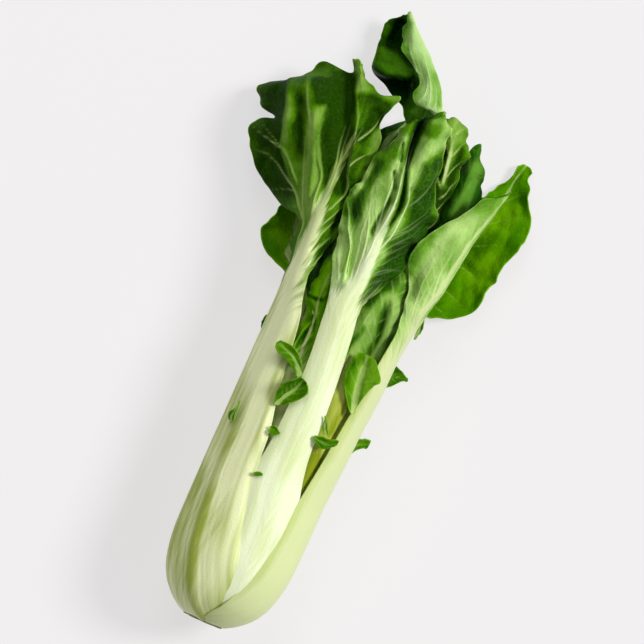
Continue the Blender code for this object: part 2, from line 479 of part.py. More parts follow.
# --- Settling: each blade is lifted clear of the floor and of the leaves under it --------
def samples(bm):
    """Points spread over the faces, closer together than a cell."""
    found = []
    steps = 14
    weights = [(i / steps, j / steps) for i in range(steps + 1) for j in range(steps + 1 - i)]
    weights = np.array([(1 - a - b, a, b) for a, b in weights])
    for triangle in bm.calc_loop_triangles():
        corners = np.array([loop.vert.co for loop in triangle])
        found.append(weights @ corners)
    return np.concatenate(found)


def cell_of(points):
    index = np.floor((points[:, :2] - LOW_CORNER) / CELL).astype(int)
    return np.clip(index, 0, np.array(CELLS) - 1).T


def spread_and_soften(field):
    """The field's highest value nearby, and then the mean of those, so no need is missed."""
    for fold in (np.max, np.mean):
        for axis in (0, 1):
            padded = np.pad(field, [(SPREAD, SPREAD) if a == axis else (0, 0) for a in (0, 1)],
                            mode="edge")
            window = np.lib.stride_tricks.sliding_window_view(padded, 2 * SPREAD + 1, axis=axis)
            field = fold(window, axis=-1)
    return field


def settle(bm, heights, how):
    """Lifts the solid until it clears the heights, which it then adds itself to."""
    for _ in range(4):
        points = samples(bm)
        i, j = cell_of(points)
        low = np.full(CELLS, np.inf)
        np.minimum.at(low, (i, j), points[:, 2])
        need = np.where(np.isfinite(low), heights - low, 0)
        if how == "drop":
            move = np.where(np.isfinite(low), need, -np.inf).max()
            bmesh.ops.translate(bm, verts=bm.verts[:], vec=(0, 0, move))
            break
        lift = spread_and_soften(np.maximum(need, 0))
        at = np.array([vert.co for vert in bm.verts])
        a, b = cell_of(at)
        up = lift[a, b] * smooth(SETTLE_FROM, SETTLE_FULL, at[:, 1])
        for vert, z in zip(bm.verts, up):
            vert.co.z += z
    points = samples(bm)
    i, j = cell_of(points)
    np.maximum.at(heights, (i, j), points[:, 2] + LEAF_GAP)


# --- The turned pieces ------------------------------------------------------------------
def turned(profile, segments):
    """A solid turned round the bulb's axis, from (y, radius) points that end on the axis."""
    bm = bmesh.new()
    verts = [bm.verts.new((AXIS_X + radius, y, AXIS_Z)) for y, radius in profile]
    edges = [bm.edges.new(pair) for pair in zip(verts, verts[1:])]
    bmesh.ops.spin(bm, geom=verts + edges, cent=(AXIS_X, 0, AXIS_Z), axis=(0, 1, 0),
                   angle=math.tau, steps=segments, use_merge=True)
    bmesh.ops.remove_doubles(bm, verts=bm.verts[:], dist=0.001)
    bmesh.ops.recalc_face_normals(bm, faces=bm.faces[:])
    return bm


ROOT_PROFILE = ((-151.2, 0), (-151.2, 6.6), (-150.4, 7.2), (-146, 8.2), (-141, 7.2),
                (-138, 5.4), (-132, 3.2), (-129.5, 0))
HEART_PROFILE = ((-127, 0), (-122, 6), (-105, 10.5), (-70, 12), (-35, 10), (-12, 5), (-4, 0))


# --- The scene --------------------------------------------------------------------------
def material(name, colour, roughness):
    made = bpy.data.materials.new(name)
    made.use_nodes = True
    shader = made.node_tree.nodes["Principled BSDF"]
    shader.inputs["Base Color"].default_value = (*colour, 1)
    shader.inputs["Roughness"].default_value = roughness
    return made


def add_object(name, bm, colour):
    """Makes the object, in metres, with the middle of the whole head over the origin."""
    bmesh.ops.translate(bm, verts=bm.verts[:], vec=(-CENTRE_X, 0, 0))
    bmesh.ops.scale(bm, verts=bm.verts[:], vec=(MM, MM, MM))
    mesh = bpy.data.meshes.new(name)
    bm.to_mesh(mesh)
    bm.free()
    mesh.shade_smooth()
    obj = bpy.data.objects.new(name, mesh)
    bpy.context.scene.collection.objects.link(obj)
    obj.data.materials.append(material(name, colour, 0.45))


def leaflet(ribs, how):
    return Leaf([rib(*points) for points in ribs], stalk=BLADE, colour=BRIGHT_GREEN, settle=how)


def main():
    for obj in list(bpy.data.objects):
        bpy.data.objects.remove(obj)
    stack = {
        "leaf_under_middle": leaf_under_middle(),
        "leaf_under_left": leaf_under_left(),
        "leaf_under_right": leaf_under_right(),
        "leaf_inner_left": leaf_inner_left(),
        "leaf_pointed": leaf_pointed(),
        "leaf_inner_right": leaf_inner_right(),
        "leaf_tall": leaf_tall(),
        "leaf_gap_left": leaf_gap_left(),
        "leaf_gap_right": leaf_gap_right(),
        "leaf_left": leaf_left(),
        "leaf_middle": leaf_middle(),
        "leaf_right": leaf_right(),
        "leaf_small": small_leaf(),
    }
    stack.update((name, leaflet(ribs, "drop")) for name, ribs in LEAFLETS.items())
    heights = np.zeros(CELLS)
    for name, leaf in stack.items():
        bm = leaf_solid(leaf)
        settle(bm, heights, leaf.settle)
        add_object(name, bm, leaf.colour)
    for name, ribs in SIDE_LEAFLETS.items():
        add_object(name, leaf_solid(leaflet(ribs, "stay")), BRIGHT_GREEN)
    add_object("root_stub", turned(ROOT_PROFILE, 16), WHITE_STALK)
    add_object("heart", turned(HEART_PROFILE, 12), PALE_GREEN)


main()
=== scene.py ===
"""A head of bok choy on a pale surface: veined, ruffled leaves on ridged stalks round a cut root.

Laid out as an add-on with one operator for each group of leaves, and run as a script.  Lists
of places are in millimetres, in the frame's own axes: +Y from the root to the tips, +Z up.
"""

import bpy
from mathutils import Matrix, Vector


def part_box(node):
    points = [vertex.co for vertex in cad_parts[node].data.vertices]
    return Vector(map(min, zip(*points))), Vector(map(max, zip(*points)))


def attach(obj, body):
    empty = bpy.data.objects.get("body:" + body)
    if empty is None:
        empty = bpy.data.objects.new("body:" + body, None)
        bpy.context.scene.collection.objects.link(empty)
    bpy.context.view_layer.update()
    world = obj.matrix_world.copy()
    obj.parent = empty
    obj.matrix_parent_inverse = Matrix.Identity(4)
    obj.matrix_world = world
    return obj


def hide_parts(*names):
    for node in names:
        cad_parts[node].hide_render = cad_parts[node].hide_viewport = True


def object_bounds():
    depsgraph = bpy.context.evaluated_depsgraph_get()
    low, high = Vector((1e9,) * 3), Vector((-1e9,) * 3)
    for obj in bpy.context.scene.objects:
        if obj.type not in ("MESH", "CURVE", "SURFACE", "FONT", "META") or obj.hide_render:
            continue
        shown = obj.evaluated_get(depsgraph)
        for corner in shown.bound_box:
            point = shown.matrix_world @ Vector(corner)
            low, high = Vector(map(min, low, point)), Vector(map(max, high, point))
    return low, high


bl_info = {
    "name": "Bok Choy Head",
    "version": (1, 0, 0),
    "blender": (4, 5, 0),
    "location": "View3D > Sidebar > Bok Choy",
    "description": "Builds the leaves, heart and root of a bok choy round a packed frame",
    "category": "Add Mesh",
}

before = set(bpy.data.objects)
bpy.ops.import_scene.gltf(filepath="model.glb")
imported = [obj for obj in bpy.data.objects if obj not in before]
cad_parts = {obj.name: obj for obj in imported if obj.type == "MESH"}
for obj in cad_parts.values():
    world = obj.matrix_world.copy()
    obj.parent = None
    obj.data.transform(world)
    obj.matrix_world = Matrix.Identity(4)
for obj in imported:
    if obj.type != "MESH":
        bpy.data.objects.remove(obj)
CAD_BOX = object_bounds()

import math
from collections import namedtuple

import bpy
import numpy as np
from bpy.props import FloatProperty, FloatVectorProperty, PointerProperty
from mathutils import Vector, noise

MM = 0.001
BODY = "root"

# --- The bulb: its axis comes from the heart, its skin from the stalks that wrap it ------
HEART_LOW, HEART_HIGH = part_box("heart")
ROOT_LOW, ROOT_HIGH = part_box("root_stub")
AXIS_X = (HEART_LOW.x + HEART_HIGH.x) / 2 / MM
AXIS_Z = (HEART_LOW.z + HEART_HIGH.z) / 2 / MM
# The bulb's outline, as pairs of y and radius.
BULB = ((-151.2, 10.0), (-150.3, 11.0), (-146, 17.5), (-140, 23.2), (-134, 26.4),
        (-122, 29.5), (-104, 30.5), (-60, 30.5), (20, 30.5))
# The lists of places count x from a line that the frame has here.
DRAWN_X = 2.3

# Every rib has this many places, spread from its left edge, -1, to its right edge, 1.
FINE = 9
SPREAD = np.linspace(-1, 1, FINE)
BOX = np.array([list(corner) for corner in CAD_BOX]) / MM

# --- Settling, as in the CAD: blades sag, and are lifted clear of what lies under them ----
# A blade falls by SAG times the square of its reach beyond SAG_FROM.
SAG = 0.0009
SAG_FROM = 20.0
# Heights are kept in square cells. A lift fades out over twice REACH of them.
CELL = 1.0
LOW_CORNER = (-90.0, -165.0)
CELLS = (180, 330)
REACH = 6
# Stalks stay where they grow. The lift comes in between these two distances along Y.
SETTLE_FROM = -20.0
SETTLE_FULL = 14.0

# --- Tissue: how wide its lumps are across a leaf, in millimetres -------------------------
FLUTE_WIDTH = 3.4
FIBRE_WIDTH = 0.9
BROAD_WIDTH = 8.0
STREAK_WIDTH = 1.3
CRUMPLE_WIDTH = 11.0
FINE_CRUMPLE_WIDTH = 4.2
TONE_WIDTH = 20.0
WAVE_DRIFT = 19.0
# Lumps in a stalk, and pale streaks beside a midrib, are longer than they are wide by one
# over these stretches. The streaks lean out from the midrib by the slant.
STALK_STRETCH = 0.03
STREAK_STRETCH = 0.06
STREAK_SLANT = 0.35
# A side vein's half width at its root, and how much less it is at its tip.
VEIN_WIDTH = 0.46
VEIN_TAPER = 0.2
# How wide a stalk's turned-in edge is, a hollow beside a vein, and a blade's pale margin.
TUCK_WIDTH = 2.4
QUILT_WIDTH = 2.6
MARGIN_WIDTH = 0.45
# A stalk's foot is thin and reaches its full thickness this far up.
ROOT_TAPER = 20.0
FOOT_SHARE = 0.45
# The blade's thickness takes over from the stalk's between these distances along Y.
BLADE_FROM = 5
BLADE_FULL = 48


def smooth(a, b, x):
    """0 before a, 1 beyond b, and a smooth rise between."""
    t = np.clip((x - a) / (b - a), 0, 1)
    return t * t * (3 - 2 * t)


def spline(knots, values, at):
    """Points on a smooth curve through the values, which stand at the knots."""
    knots = np.asarray(knots, float)
    values = np.asarray(values, float)
    step = np.diff(knots).reshape(-1, *[1] * (values.ndim - 1))
    slope = np.diff(values, axis=0) / step
    inner = (slope[1:] + slope[:-1]) / 2
    if len(inner):
        ends = (1.5 * slope[:1] - 0.5 * inner[:1], 1.5 * slope[-1:] - 0.5 * inner[-1:])
    else:
        ends = (slope, slope)
    tangent = np.concatenate([ends[0], inner, ends[1]])
    at = np.clip(at, knots[0], knots[-1])
    k = np.clip(np.searchsorted(knots, at, side="right") - 1, 0, len(step) - 1)
    t = ((at - knots[k]).reshape(-1, *[1] * (values.ndim - 1))) / step[k]
    start = 2 * t**3 - 3 * t**2 + 1
    return (start * values[k] + (1 - start) * values[k + 1]
            + (t**3 - 2 * t**2 + t) * step[k] * tangent[k]
            + (t**3 - t**2) * step[k] * tangent[k + 1])


def across(points):
    """A smooth line through the points, read at the places that every rib has."""
    return spline(np.linspace(-1, 1, len(points)), points, SPREAD)


def rib(*points):
    """A line across a leaf through (x, y, z) points, from edge to edge."""
    return across(points) + (DRAWN_X, 0, 0)


def wrap(y, *points):
    """A line across a stalk, round the bulb, through (degrees, depth under the skin) points."""
    ys, radii = zip(*BULB)
    radius = spline(ys, radii, np.array([y]))[0]
    degrees, depth = across(points).T
    angle = np.radians(degrees)
    return np.stack([AXIS_X + (radius - depth) * np.cos(angle), np.full(FINE, float(y)),
                     AXIS_Z + (radius - depth) * np.sin(angle)], axis=1)


# A leaf's stalk is its thickness there, its midrib (y, half width) pairs, its creases and
# tints (kind, amount, width, path) rows, its grid (rows, columns), and its tuck how far its
# left and right edges turn in.  The tints paint shade into hollows and highlights onto ridges,
# besides the leaf's own paler and darker patches.  A positive crease lowers the leaf, and a
# positive tint darkens.
Leaf = namedtuple("Leaf", "ribs stalk midrib veins creases tints ruffle look grid settle tuck",
                  defaults=("drape", (0, 0)))
Ruffle = namedtuple("Ruffle", "size wave phase")
# Side veins, by turns on the left and the right, from y = first to y = last. On each side
# they are a gap apart, and lean is how far forward they run for each step outwards.
Rule = namedtuple("Rule", "first gap lean last strength", defaults=(999, 1.0))
Faint = namedtuple("Faint", "strength path")
# The faces are finishes. The other values are heights, except blade_from, a y, and the seed.
Look = namedtuple("Look", "faces blade_from ridge vein_height quilt crumple flutes seed")


# --- The leaves' shapes -----------------------------------------------------------------
def left_ribs():
    return [
        wrap(-150.3, (225, 0), (155, 0), (88, 0.8)),
        wrap(-146, (225, 0), (153, 0), (80, 0.6)),
        wrap(-140, (225, 0), (150, 0), (73, 1.6)),
        wrap(-133, (225, 0), (149, 0), (71, 1.8)),
        wrap(-120, (225, 0), (153, 0), (81, 0)),
        wrap(-100, (225, 0), (158, 0), (91.5, 0)),
        wrap(-78, (225, 0), (163, 0), (101, 0)),
        wrap(-58, (224, 0), (164, 0), (104.3, 0)),
        wrap(-38, (218, 0), (165, 0), (112.3, 0)),
        wrap(-18, (210, 0), (164, 0), (118.3, 0)),
        wrap(0, (203, 0), (164, 0), (124.6, 0)),
        rib((-26.5, 12, 25), (-27, 12, 36), (-23.5, 12, 45), (-19, 12, 49), (-15.3, 12, 50)),
        rib((-28, 21, 29), (-27, 21, 39), (-23, 21, 46.5), (-18.7, 21, 49.3), (-16, 21, 48.5)),
        rib((-30, 31, 29), (-27.3, 30, 41), (-22.7, 29, 48), (-18, 31, 49), (-13.5, 33, 45)),
        rib((-34, 41.5, 27), (-28.5, 38, 41), (-23, 36, 49), (-18, 39, 49), (-11.7, 43, 44)),
        rib((-47.5, 45.8, 23), (-34, 46.5, 39), (-23.5, 44, 49.5), (-18, 48, 48.5), (-12, 51, 43)),
        rib((-61, 54.6, 21), (-41, 55.5, 39), (-24, 52, 50), (-19, 56, 48), (-13.5, 58, 43)),
        rib((-69.3, 65, 20), (-46, 65, 40), (-24, 60, 50), (-18, 65, 47), (-12, 67, 43)),
        rib((-68, 75.5, 20), (-49, 73, 43), (-24, 68, 49.5), (-17, 73, 46.5), (-9.5, 75, 42)),
        rib((-61.5, 79.4, 28), (-50.5, 78, 44), (-23.8, 73.3, 49), (-17, 78, 46),
            (-9.9, 80.5, 41.5)),
        rib((-71.5, 82, 19), (-52, 83, 45), (-23.7, 78, 48.5), (-17, 82, 46), (-10.3, 85, 41)),
        rib((-75, 90.5, 18), (-53, 92, 45), (-23.5, 88, 47.5), (-18, 93, 46), (-13.5, 95, 42)),
        rib((-62.5, 97, 25), (-52, 99, 42), (-25, 95, 46.5), (-19, 100, 45), (-12, 103, 42)),
        rib((-58, 105, 26), (-47, 106, 37), (-28, 101, 45.5), (-21, 106, 44), (-11, 110, 40)),
        rib((-50, 112.7, 26), (-41, 111, 32), (-31, 108, 43), (-25, 109, 42), (-18, 110, 38)),
        rib((-38, 113.5, 31), (-36, 114.5, 35), (-33.5, 114.8, 39), (-31, 114, 38.5),
            (-28.6, 111.5, 35)),
        rib((-37.8, 117, 35), (-36.9, 118.6, 36), (-35.2, 118.9, 37), (-33, 118, 37),
            (-30.6, 115.2, 35.5)),
        rib((-37.3, 119.2, 36), (-36.6, 120, 36.3), (-35.6, 120.4, 36.5), (-34.4, 120, 36.3),
            (-33.2, 118.6, 36)),
    ]


def middle_ribs():
    return [
        wrap(-143, (88, 2.4), (73, 1.9), (58, 2.2)),
        wrap(-134, (86, 2.0), (71, 1.4), (56, 2.0)),
        wrap(-127, (87, 2.0), (79, 1.3), (71, 0.9), (63.5, 1.2), (56, 1.9)),
        wrap(-120, (90, 1.9), (82, 1.2), (72, 0.5), (60.5, 1.2), (53, 1.9)),
        wrap(-110, (96, 1.9), (87.5, 1.1), (73, 0.3), (57, 1.2), (50, 1.9)),
        wrap(-100, (101, 1.8), (92.5, 1.0), (74, 0.2), (54, 1.1), (48, 1.9)),
        wrap(-90, (106, 1.8), (98, 1.0), (76, 0.1), (55, 1.2), (49, 2.0)),
        wrap(-80, (108, 1.8), (101.5, 1.1), (79, 0), (55, 1.2), (50, 2.2)),
        wrap(-70, (103, 1.8), (94, 0.5), (80, 0), (64, 0.6), (55.5, 2.0)),
        wrap(-60, (100.3, 1.8), (80, 0), (59.5, 1.8)),
        wrap(-40, (98.6, 1.8), (80, 0), (61.6, 1.8)),
        wrap(-20, (98.8, 1.8), (82, 0), (65.3, 1.8)),
        wrap(0, (102.5, 1.8), (86.5, 0), (70.3, 1.8)),
        wrap(12, (106, 2.0), (88.5, 0.3), (73.5, 2.4)),
        rib((-6.5, 23, 53), (0, 22, 58.3), (6, 21, 60), (10.5, 20, 58.5), (13.6, 17, 55)),
        rib((-9.5, 31, 50.5), (-1, 30, 57), (6.6, 29, 59.5), (13, 27, 57), (18.5, 26, 51)),
        rib((-12, 43, 49), (-2, 41, 56), (6.5, 39, 59), (15, 37, 55), (23.5, 38, 47)),
        rib((-15, 56, 48), (-3, 52, 55), (6.5, 49, 58), (16, 48, 54), (24.5, 47, 45)),
        rib((-14, 63, 47), (-3.5, 62, 54), (6.5, 59, 57), (18, 58, 53), (27, 61, 44)),
        rib((-11, 75, 46), (-2.5, 74, 53), (7, 70, 55), (18, 69, 52), (26, 71, 44)),
        rib((-8.5, 87, 45), (-1.5, 86, 52), (6.5, 82, 53), (15, 82, 51), (20.5, 85, 45)),
        rib((-4.5, 97, 45), (-1, 98, 50), (5.5, 94, 50), (12, 95, 50), (18.3, 99, 46)),
        rib((-3.2, 103, 45), (0, 104.5, 47), (5.5, 103, 47), (11, 105, 48), (18, 106.5, 46)),
        rib((5, 107, 44), (8, 109, 45), (10, 110.5, 46), (13, 110.5, 46), (16, 109, 45)),
        rib((9, 112, 43), (10, 113.3, 44), (11, 114, 44), (12, 113.3, 44), (13.5, 112, 43.5)),
    ]


def right_ribs():
    return [
        wrap(-150.3, (94, 0), (20, 0), (-55, 0)),
        wrap(-146, (86, -0.4), (15, 0), (-55, 0)),
        wrap(-140, (76, -0.6), (10, 0), (-55, 0)),
        wrap(-133, (70, -0.5), (7, 0), (-55, 0)),
        wrap(-120, (63, -0.3), (4, 0), (-55, 0)),
        wrap(-100, (55.7, 0), (0, 0), (-55, 0)),
        wrap(-80, (50, 0), (-1, 0), (-54, 0)),
        wrap(-60, (45.2, -1.2), (-1, -1.2), (-50, -1.2)),
        wrap(-40, (41.3, -2.2), (-1, -2.2), (-45, -2.2)),
        wrap(-20, (37.5, -3.7), (1, -3.7), (-36, -3.7)),
        wrap(0, (35.6, -4.2), (5, -4.2), (-26, -4.2)),
        rib((32.2, 11, 48.5), (36.6, 11, 44.5), (39.8, 11, 37), (40, 11, 30), (38.5, 11, 24)),
        rib((30.6, 22, 45.5), (34.2, 21, 47), (39, 20, 43.5), (41.7, 20, 36), (38, 21, 29)),
        rib((29.2, 30, 45), (35, 30, 47), (41.5, 29, 43.5), (43.3, 29, 36), (38, 30, 29)),
        rib((24, 43, 45), (33.5, 41, 47), (43.4, 39, 43), (45.5, 40, 35.5), (38, 41, 28)),
        rib((25.5, 55, 45), (35, 53, 46), (45, 50, 42.5), (46.8, 51, 35), (38, 53, 27)),
        rib((32, 64, 44), (39, 63, 45), (46.5, 60, 42), (48.2, 62, 34), (40, 64, 27)),
        rib((38, 74, 43), (43, 73, 44), (49, 70, 41), (50.6, 72, 34), (43, 75, 28)),
        rib((44.5, 83, 42), (48, 82, 42.5), (51.7, 80, 40), (52.8, 81, 34), (47, 83, 29)),
        rib((50, 86.8, 40), (52, 87.2, 40), (53.6, 87, 39), (54, 87, 35), (50, 87, 31)),
        rib((53.6, 90.4, 38), (54.4, 91.5, 38), (55, 92, 37.5), (55, 91.4, 36), (53.4, 90.3, 34)),
    ]


def tall_ribs():
    return [
        wrap(-141, (94, 8), (77, 8), (60, 8)),
        wrap(-120, (93, 7.6), (77, 7.6), (61, 7.6)),
        wrap(-60, (92, 7.4), (77, 7.4), (62, 7.4)),
        wrap(0, (90, 8), (77, 8), (64, 8)),
        rib((-1, 20, 46), (3.5, 20, 49), (8, 20, 50), (12, 20, 48), (15, 20, 45)),
        rib((-5, 42, 38), (1, 41, 43), (8, 40, 45), (14, 41, 42), (19, 42, 36)),
        rib((-9, 62, 33), (0, 61, 39), (8, 60, 42), (15, 61, 38), (20, 62, 32)),
        rib((4, 82, 36), (8, 81, 39), (11.5, 80, 39), (13, 81, 34), (8, 82, 26)),
        rib((9, 97, 36.5), (10.5, 97, 38), (12.5, 96, 37), (11, 97, 31), (0.5, 98, 22)),
        rib((8.5, 107, 37), (10.5, 107, 38.5), (12.6, 106, 36.5), (7, 106, 28), (-8, 108, 20)),
        rib((5, 110.8, 37.5), (8.3, 110.8, 39), (11.6, 110.2, 36.5), (5, 110, 27),
            (-14, 111, 19)),
        rib((-2.5, 111.6, 37.5), (4.5, 112.6, 39.5), (10.9, 112.6, 36), (3, 112, 26.5),
            (-17, 113, 18.5)),
        rib((-5.8, 115, 37), (2, 115.5, 40), (9.5, 115.6, 36), (1, 115, 26), (-20, 115, 18)),
        rib((-6, 121, 37), (0, 121, 40), (6.5, 121, 36), (-6, 120, 25), (-28, 119.5, 17)),
        rib((-9, 125, 37), (-3, 127, 40), (2, 127, 36), (-10, 127, 25), (-30, 127, 18)),
        rib((-18.5, 132, 37), (-11, 134, 39), (-4, 133, 36), (-15, 133, 26), (-31, 135, 20)),
        rib((-22, 138, 36), (-17, 140, 38), (-11, 140, 35), (-19, 141, 28), (-31.5, 141.5, 22)),
        rib((-23, 144, 35), (-21, 146, 36), (-17.5, 145.5, 34), (-21, 145.5, 30), (-28, 146, 25)),
        rib((-23.7, 149.6, 33), (-23.3, 150.8, 33.5), (-22.6, 151.2, 33), (-23, 150.3, 31),
            (-24.6, 149, 29.5)),
    ]


def inner_left_ribs():
    return [
        *(wrap(y, (150, 13), (125, 13), (98, 13)) for y in (-138, -120, -60)),
        wrap(0, (148, 13), (125, 13), (102, 13)),
        rib((-15, 20, 33), (-12, 20, 36), (-7, 20, 38), (-3, 20, 38), (1, 20, 37)),
        rib((-19, 41, 27), (-14, 40, 30), (-8, 40, 31), (-1, 41, 30), (5, 42, 28)),
        rib((-22, 61, 21), (-16, 60, 24), (-9, 60, 25), (0, 61, 24), (7, 62, 21)),
        rib((-21, 81, 16), (-16, 80, 18), (-9, 80, 19), (-2, 81, 18), (6, 82, 16)),
        rib((-15, 92, 14), (-12, 92, 16), (-8, 92, 17), (-3, 93, 16), (4, 94, 14)),
        rib((-8.5, 98.7, 13), (-6.5, 100, 14), (-3, 102, 15), (1, 103, 14), (5, 103, 13)),
        rib((-4.6, 103.4, 12), (-3, 105, 13), (-1, 106, 13), (1, 106, 13), (3, 105, 12)),
    ]


def inner_right_ribs():
    return [
        *(wrap(y, (92, 13), (72, 13), (52, 13)) for y in (-138, -120, -60)),
        wrap(0, (90, 14), (72, 14), (54, 14)),
        rib((6, 20, 39), (11, 20, 41), (16, 20, 41.5), (20, 20, 39), (23, 20, 35)),
        rib((9, 41, 33), (15, 40, 37), (20, 40, 38), (24, 41, 35), (27, 42, 30)),
        rib((10, 61, 31), (17, 60, 37), (24, 60, 39), (27, 61, 36), (29, 62, 31)),
        rib((12, 77, 33), (19, 76, 39), (24.7, 75, 41), (27.5, 77, 38), (30, 78, 33)),
        rib((11, 91, 34), (18, 90, 40), (22.7, 89, 42), (26, 91, 39), (29.5, 93, 34)),
        rib((10, 103, 35), (16, 102, 40), (20.3, 101, 41.5), (24.5, 103, 38), (29, 103, 34)),
        rib((11, 111, 37), (15, 110.5, 39.5), (18, 109, 40), (22, 109.5, 38), (25, 107.5, 35)),
        rib((15, 113, 38), (16.5, 113.3, 38.5), (18, 113.1, 38.5), (21, 112, 37.5),
            (24, 111, 36)),
    ]


def pointed_ribs():
    return [
        *(wrap(y, (48, 13), (27, 13), (5, 13)) for y in (-138, -120, -60)),
        wrap(0, (46, 13.5), (27, 13.5), (8, 13.5)),
        rib((18, 20, 35), (21, 20, 37), (25, 20, 36), (28, 20, 33), (30, 20, 29)),
        rib((19, 41, 29), (24, 40, 33), (29, 40, 33), (33, 41, 30), (36, 42, 26)),
        rib((24, 61, 25), (28, 60, 29), (33, 60, 30), (38, 61, 28), (42, 62, 24)),
        rib((25.5, 76, 26), (30, 76, 30), (34.5, 76, 31), (40, 77, 29), (44, 78, 25)),
        rib((27.5, 89, 27), (30.5, 90, 30), (33.5, 90, 31), (37.5, 90, 29), (41, 91, 25)),
        rib((28.5, 99, 27), (31, 100, 29), (33.3, 100, 30), (35.5, 99, 29), (37.2, 98.5, 27)),
        rib((31.3, 106, 28), (32, 106.8, 28.5), (32.6, 107.1, 28.5), (33.3, 106.5, 28),
            (34.2, 105.3, 27.5)),
    ]


def under_right_ribs():
    return [
        wrap(-141, (-15, 8), (-45, 8), (-75, 8)),
        wrap(-120, (-15, 7.6), (-45, 7.6), (-75, 7.6)),
        wrap(-40, (-12, 7.4), (-42, 7.4), (-72, 7.4)),
        wrap(-20, (-10, 6), (-38, 6), (-66, 6)),
        wrap(0, (-14, 3.5), (-36, 3.5), (-60, 3.5)),
        rib((37, 14, 13), (35, 14, 10), (32, 14, 8), (28, 14, 7), (24, 14, 8)),
        rib((46, 23, 9), (41, 24, 7), (37, 25, 6), (31, 26, 6.5), (25, 28, 10)),
        rib((61.5, 33, 8), (51.5, 34, 6), (41, 34, 5), (33, 36, 7), (25, 38, 12)),
        rib((65, 47, 10), (55, 47, 6), (43.5, 46, 4), (34, 48, 6), (25, 50, 13)),
        rib((66.5, 59, 12), (56.5, 60, 6), (46, 59, 3), (36, 61, 6), (28, 63, 13)),
        rib((70.8, 73, 14), (59, 72, 7), (48.5, 71, 2.5), (39, 74, 6), (31, 76, 12)),
        rib((69.5, 84, 13), (60.5, 84, 7), (51.5, 82, 2.5), (45, 83, 6), (40, 84, 10)),
        rib((65, 93, 11), (60, 93, 7), (54, 91, 3.5), (50.5, 90, 5), (47.5, 89, 8)),
        rib((60, 100, 10), (57.5, 100, 8), (55, 98.5, 5.5), (52, 98, 6), (50.2, 97.5, 8)),
        rib((61.2, 104.5, 10), (59.5, 106.8, 9.5), (57, 107.3, 8.5), (55, 107.2, 9),
            (52.8, 105.8, 9.5)),
    ]


def under_left_ribs():
    return [
        wrap(-141, (250, 8), (222, 8), (195, 8)),
        wrap(-120, (250, 7.6), (222, 7.6), (195, 7.6)),
        wrap(-40, (248, 7.4), (220, 7.4), (193, 7.4)),
        wrap(-20, (242, 6), (218, 6), (194, 6)),
        wrap(0, (238, 3.5), (217, 3.5), (196, 4)),
        rib((-11, 12, 7), (-16, 12, 7), (-20, 12, 9), (-23, 12, 12), (-24.5, 12, 16)),
        rib((-9, 19, 9), (-18, 19, 6), (-26, 18.5, 6), (-33, 18, 9), (-39, 18.5, 12)),
        rib((-8, 29, 12), (-18, 28, 6), (-28, 28, 4.5), (-37, 28, 7), (-45.5, 28, 12)),
        rib((-10, 40, 13), (-20, 39, 6), (-30, 38, 4), (-37, 38, 6), (-43, 38.5, 11)),
        rib((-15, 52, 12), (-24, 51, 6), (-32, 50, 4), (-37, 49, 6), (-41, 47.5, 9)),
        rib((-22, 63, 10), (-29, 62, 6), (-35, 61, 4.5), (-40, 60, 6), (-45, 59, 9)),
        rib((-30, 74, 9), (-34, 73.5, 6.5), (-38, 73, 5.5), (-42, 72, 6.5), (-46, 70, 9)),
        rib((-37, 80, 9), (-38.5, 80.7, 8), (-40, 81, 8), (-41.2, 80.5, 8), (-43, 79, 9)),
    ]


def under_middle_ribs():
    return [
        wrap(-150.3, (-62, 0), (-95, 0), (-128, 0)),
        wrap(-146, (-60, 1), (-95, 0), (-130, 1)),
        wrap(-138, (-52, 3.8), (-95, 0), (-138, 3.8)),
        *(wrap(y, (-49, 3.6), (-72, 0.8), (-95, 0), (-118, 0.8), (-141, 3.6))
          for y in (-120, -80)),
        wrap(-55, (-54, 2), (-95, 0), (-136, 2)),
        wrap(-20, (-62, 1), (-95, 0), (-128, 1)),
        wrap(0, (-72, 0.5), (-93, 0), (-114, 0.5)),
        rib((16, 14, 2.5), (10, 14, 0.8), (3, 14, 0.2), (-3, 14, 0.8), (-9, 14, 2.5)),
        rib((24, 29, 5), (13, 28, 1.5), (2, 27, 0.5), (-9, 28, 1.5), (-19, 29, 5)),
        rib((28, 44, 7), (15, 43, 2.5), (1, 41, 0.8), (-13, 43, 2.5), (-25, 44, 7)),
        rib((27, 58, 7), (14, 57, 2.5), (0, 55, 0.8), (-14, 57, 2.5), (-26, 58, 7)),
        rib((20, 71, 6), (10, 71, 2.5), (-1, 70, 1), (-12, 71, 2.5), (-21, 71, 6)),
        rib((6, 82, 5), (2, 84, 3.5), (-2, 85, 3), (-6, 84, 3.5), (-9, 82, 5)),
    ]


def gap_left_ribs():
    return [
        wrap(-141, (131, 8), (114, 8), (98, 8)),
        wrap(-120, (131, 7.6), (114, 7.6), (98, 7.6)),
        wrap(-60, (130, 7.4), (113, 7.4), (97, 7.4)),
        wrap(-20, (128, 7), (113, 6.8), (98, 7)),
        wrap(0, (130, 7.4), (115, 7), (99, 7.4)),
        rib((-13.5, 10, 45), (-10.5, 10, 48.5), (-7.5, 10, 50), (-4.5, 10, 50), (-2, 10, 49)),
        rib((-12.5, 18, 42), (-10, 19, 45), (-7.5, 20, 46), (-5, 20, 45.5), (-2.5, 20, 44)),
        rib((-11, 28, 39), (-9, 30, 41), (-7, 31, 42), (-5, 30, 41), (-3, 29, 39)),
        rib((-9, 36, 37), (-8, 38, 38), (-7.3, 38.7, 38), (-6.6, 38, 38), (-5.6, 36, 37)),
    ]


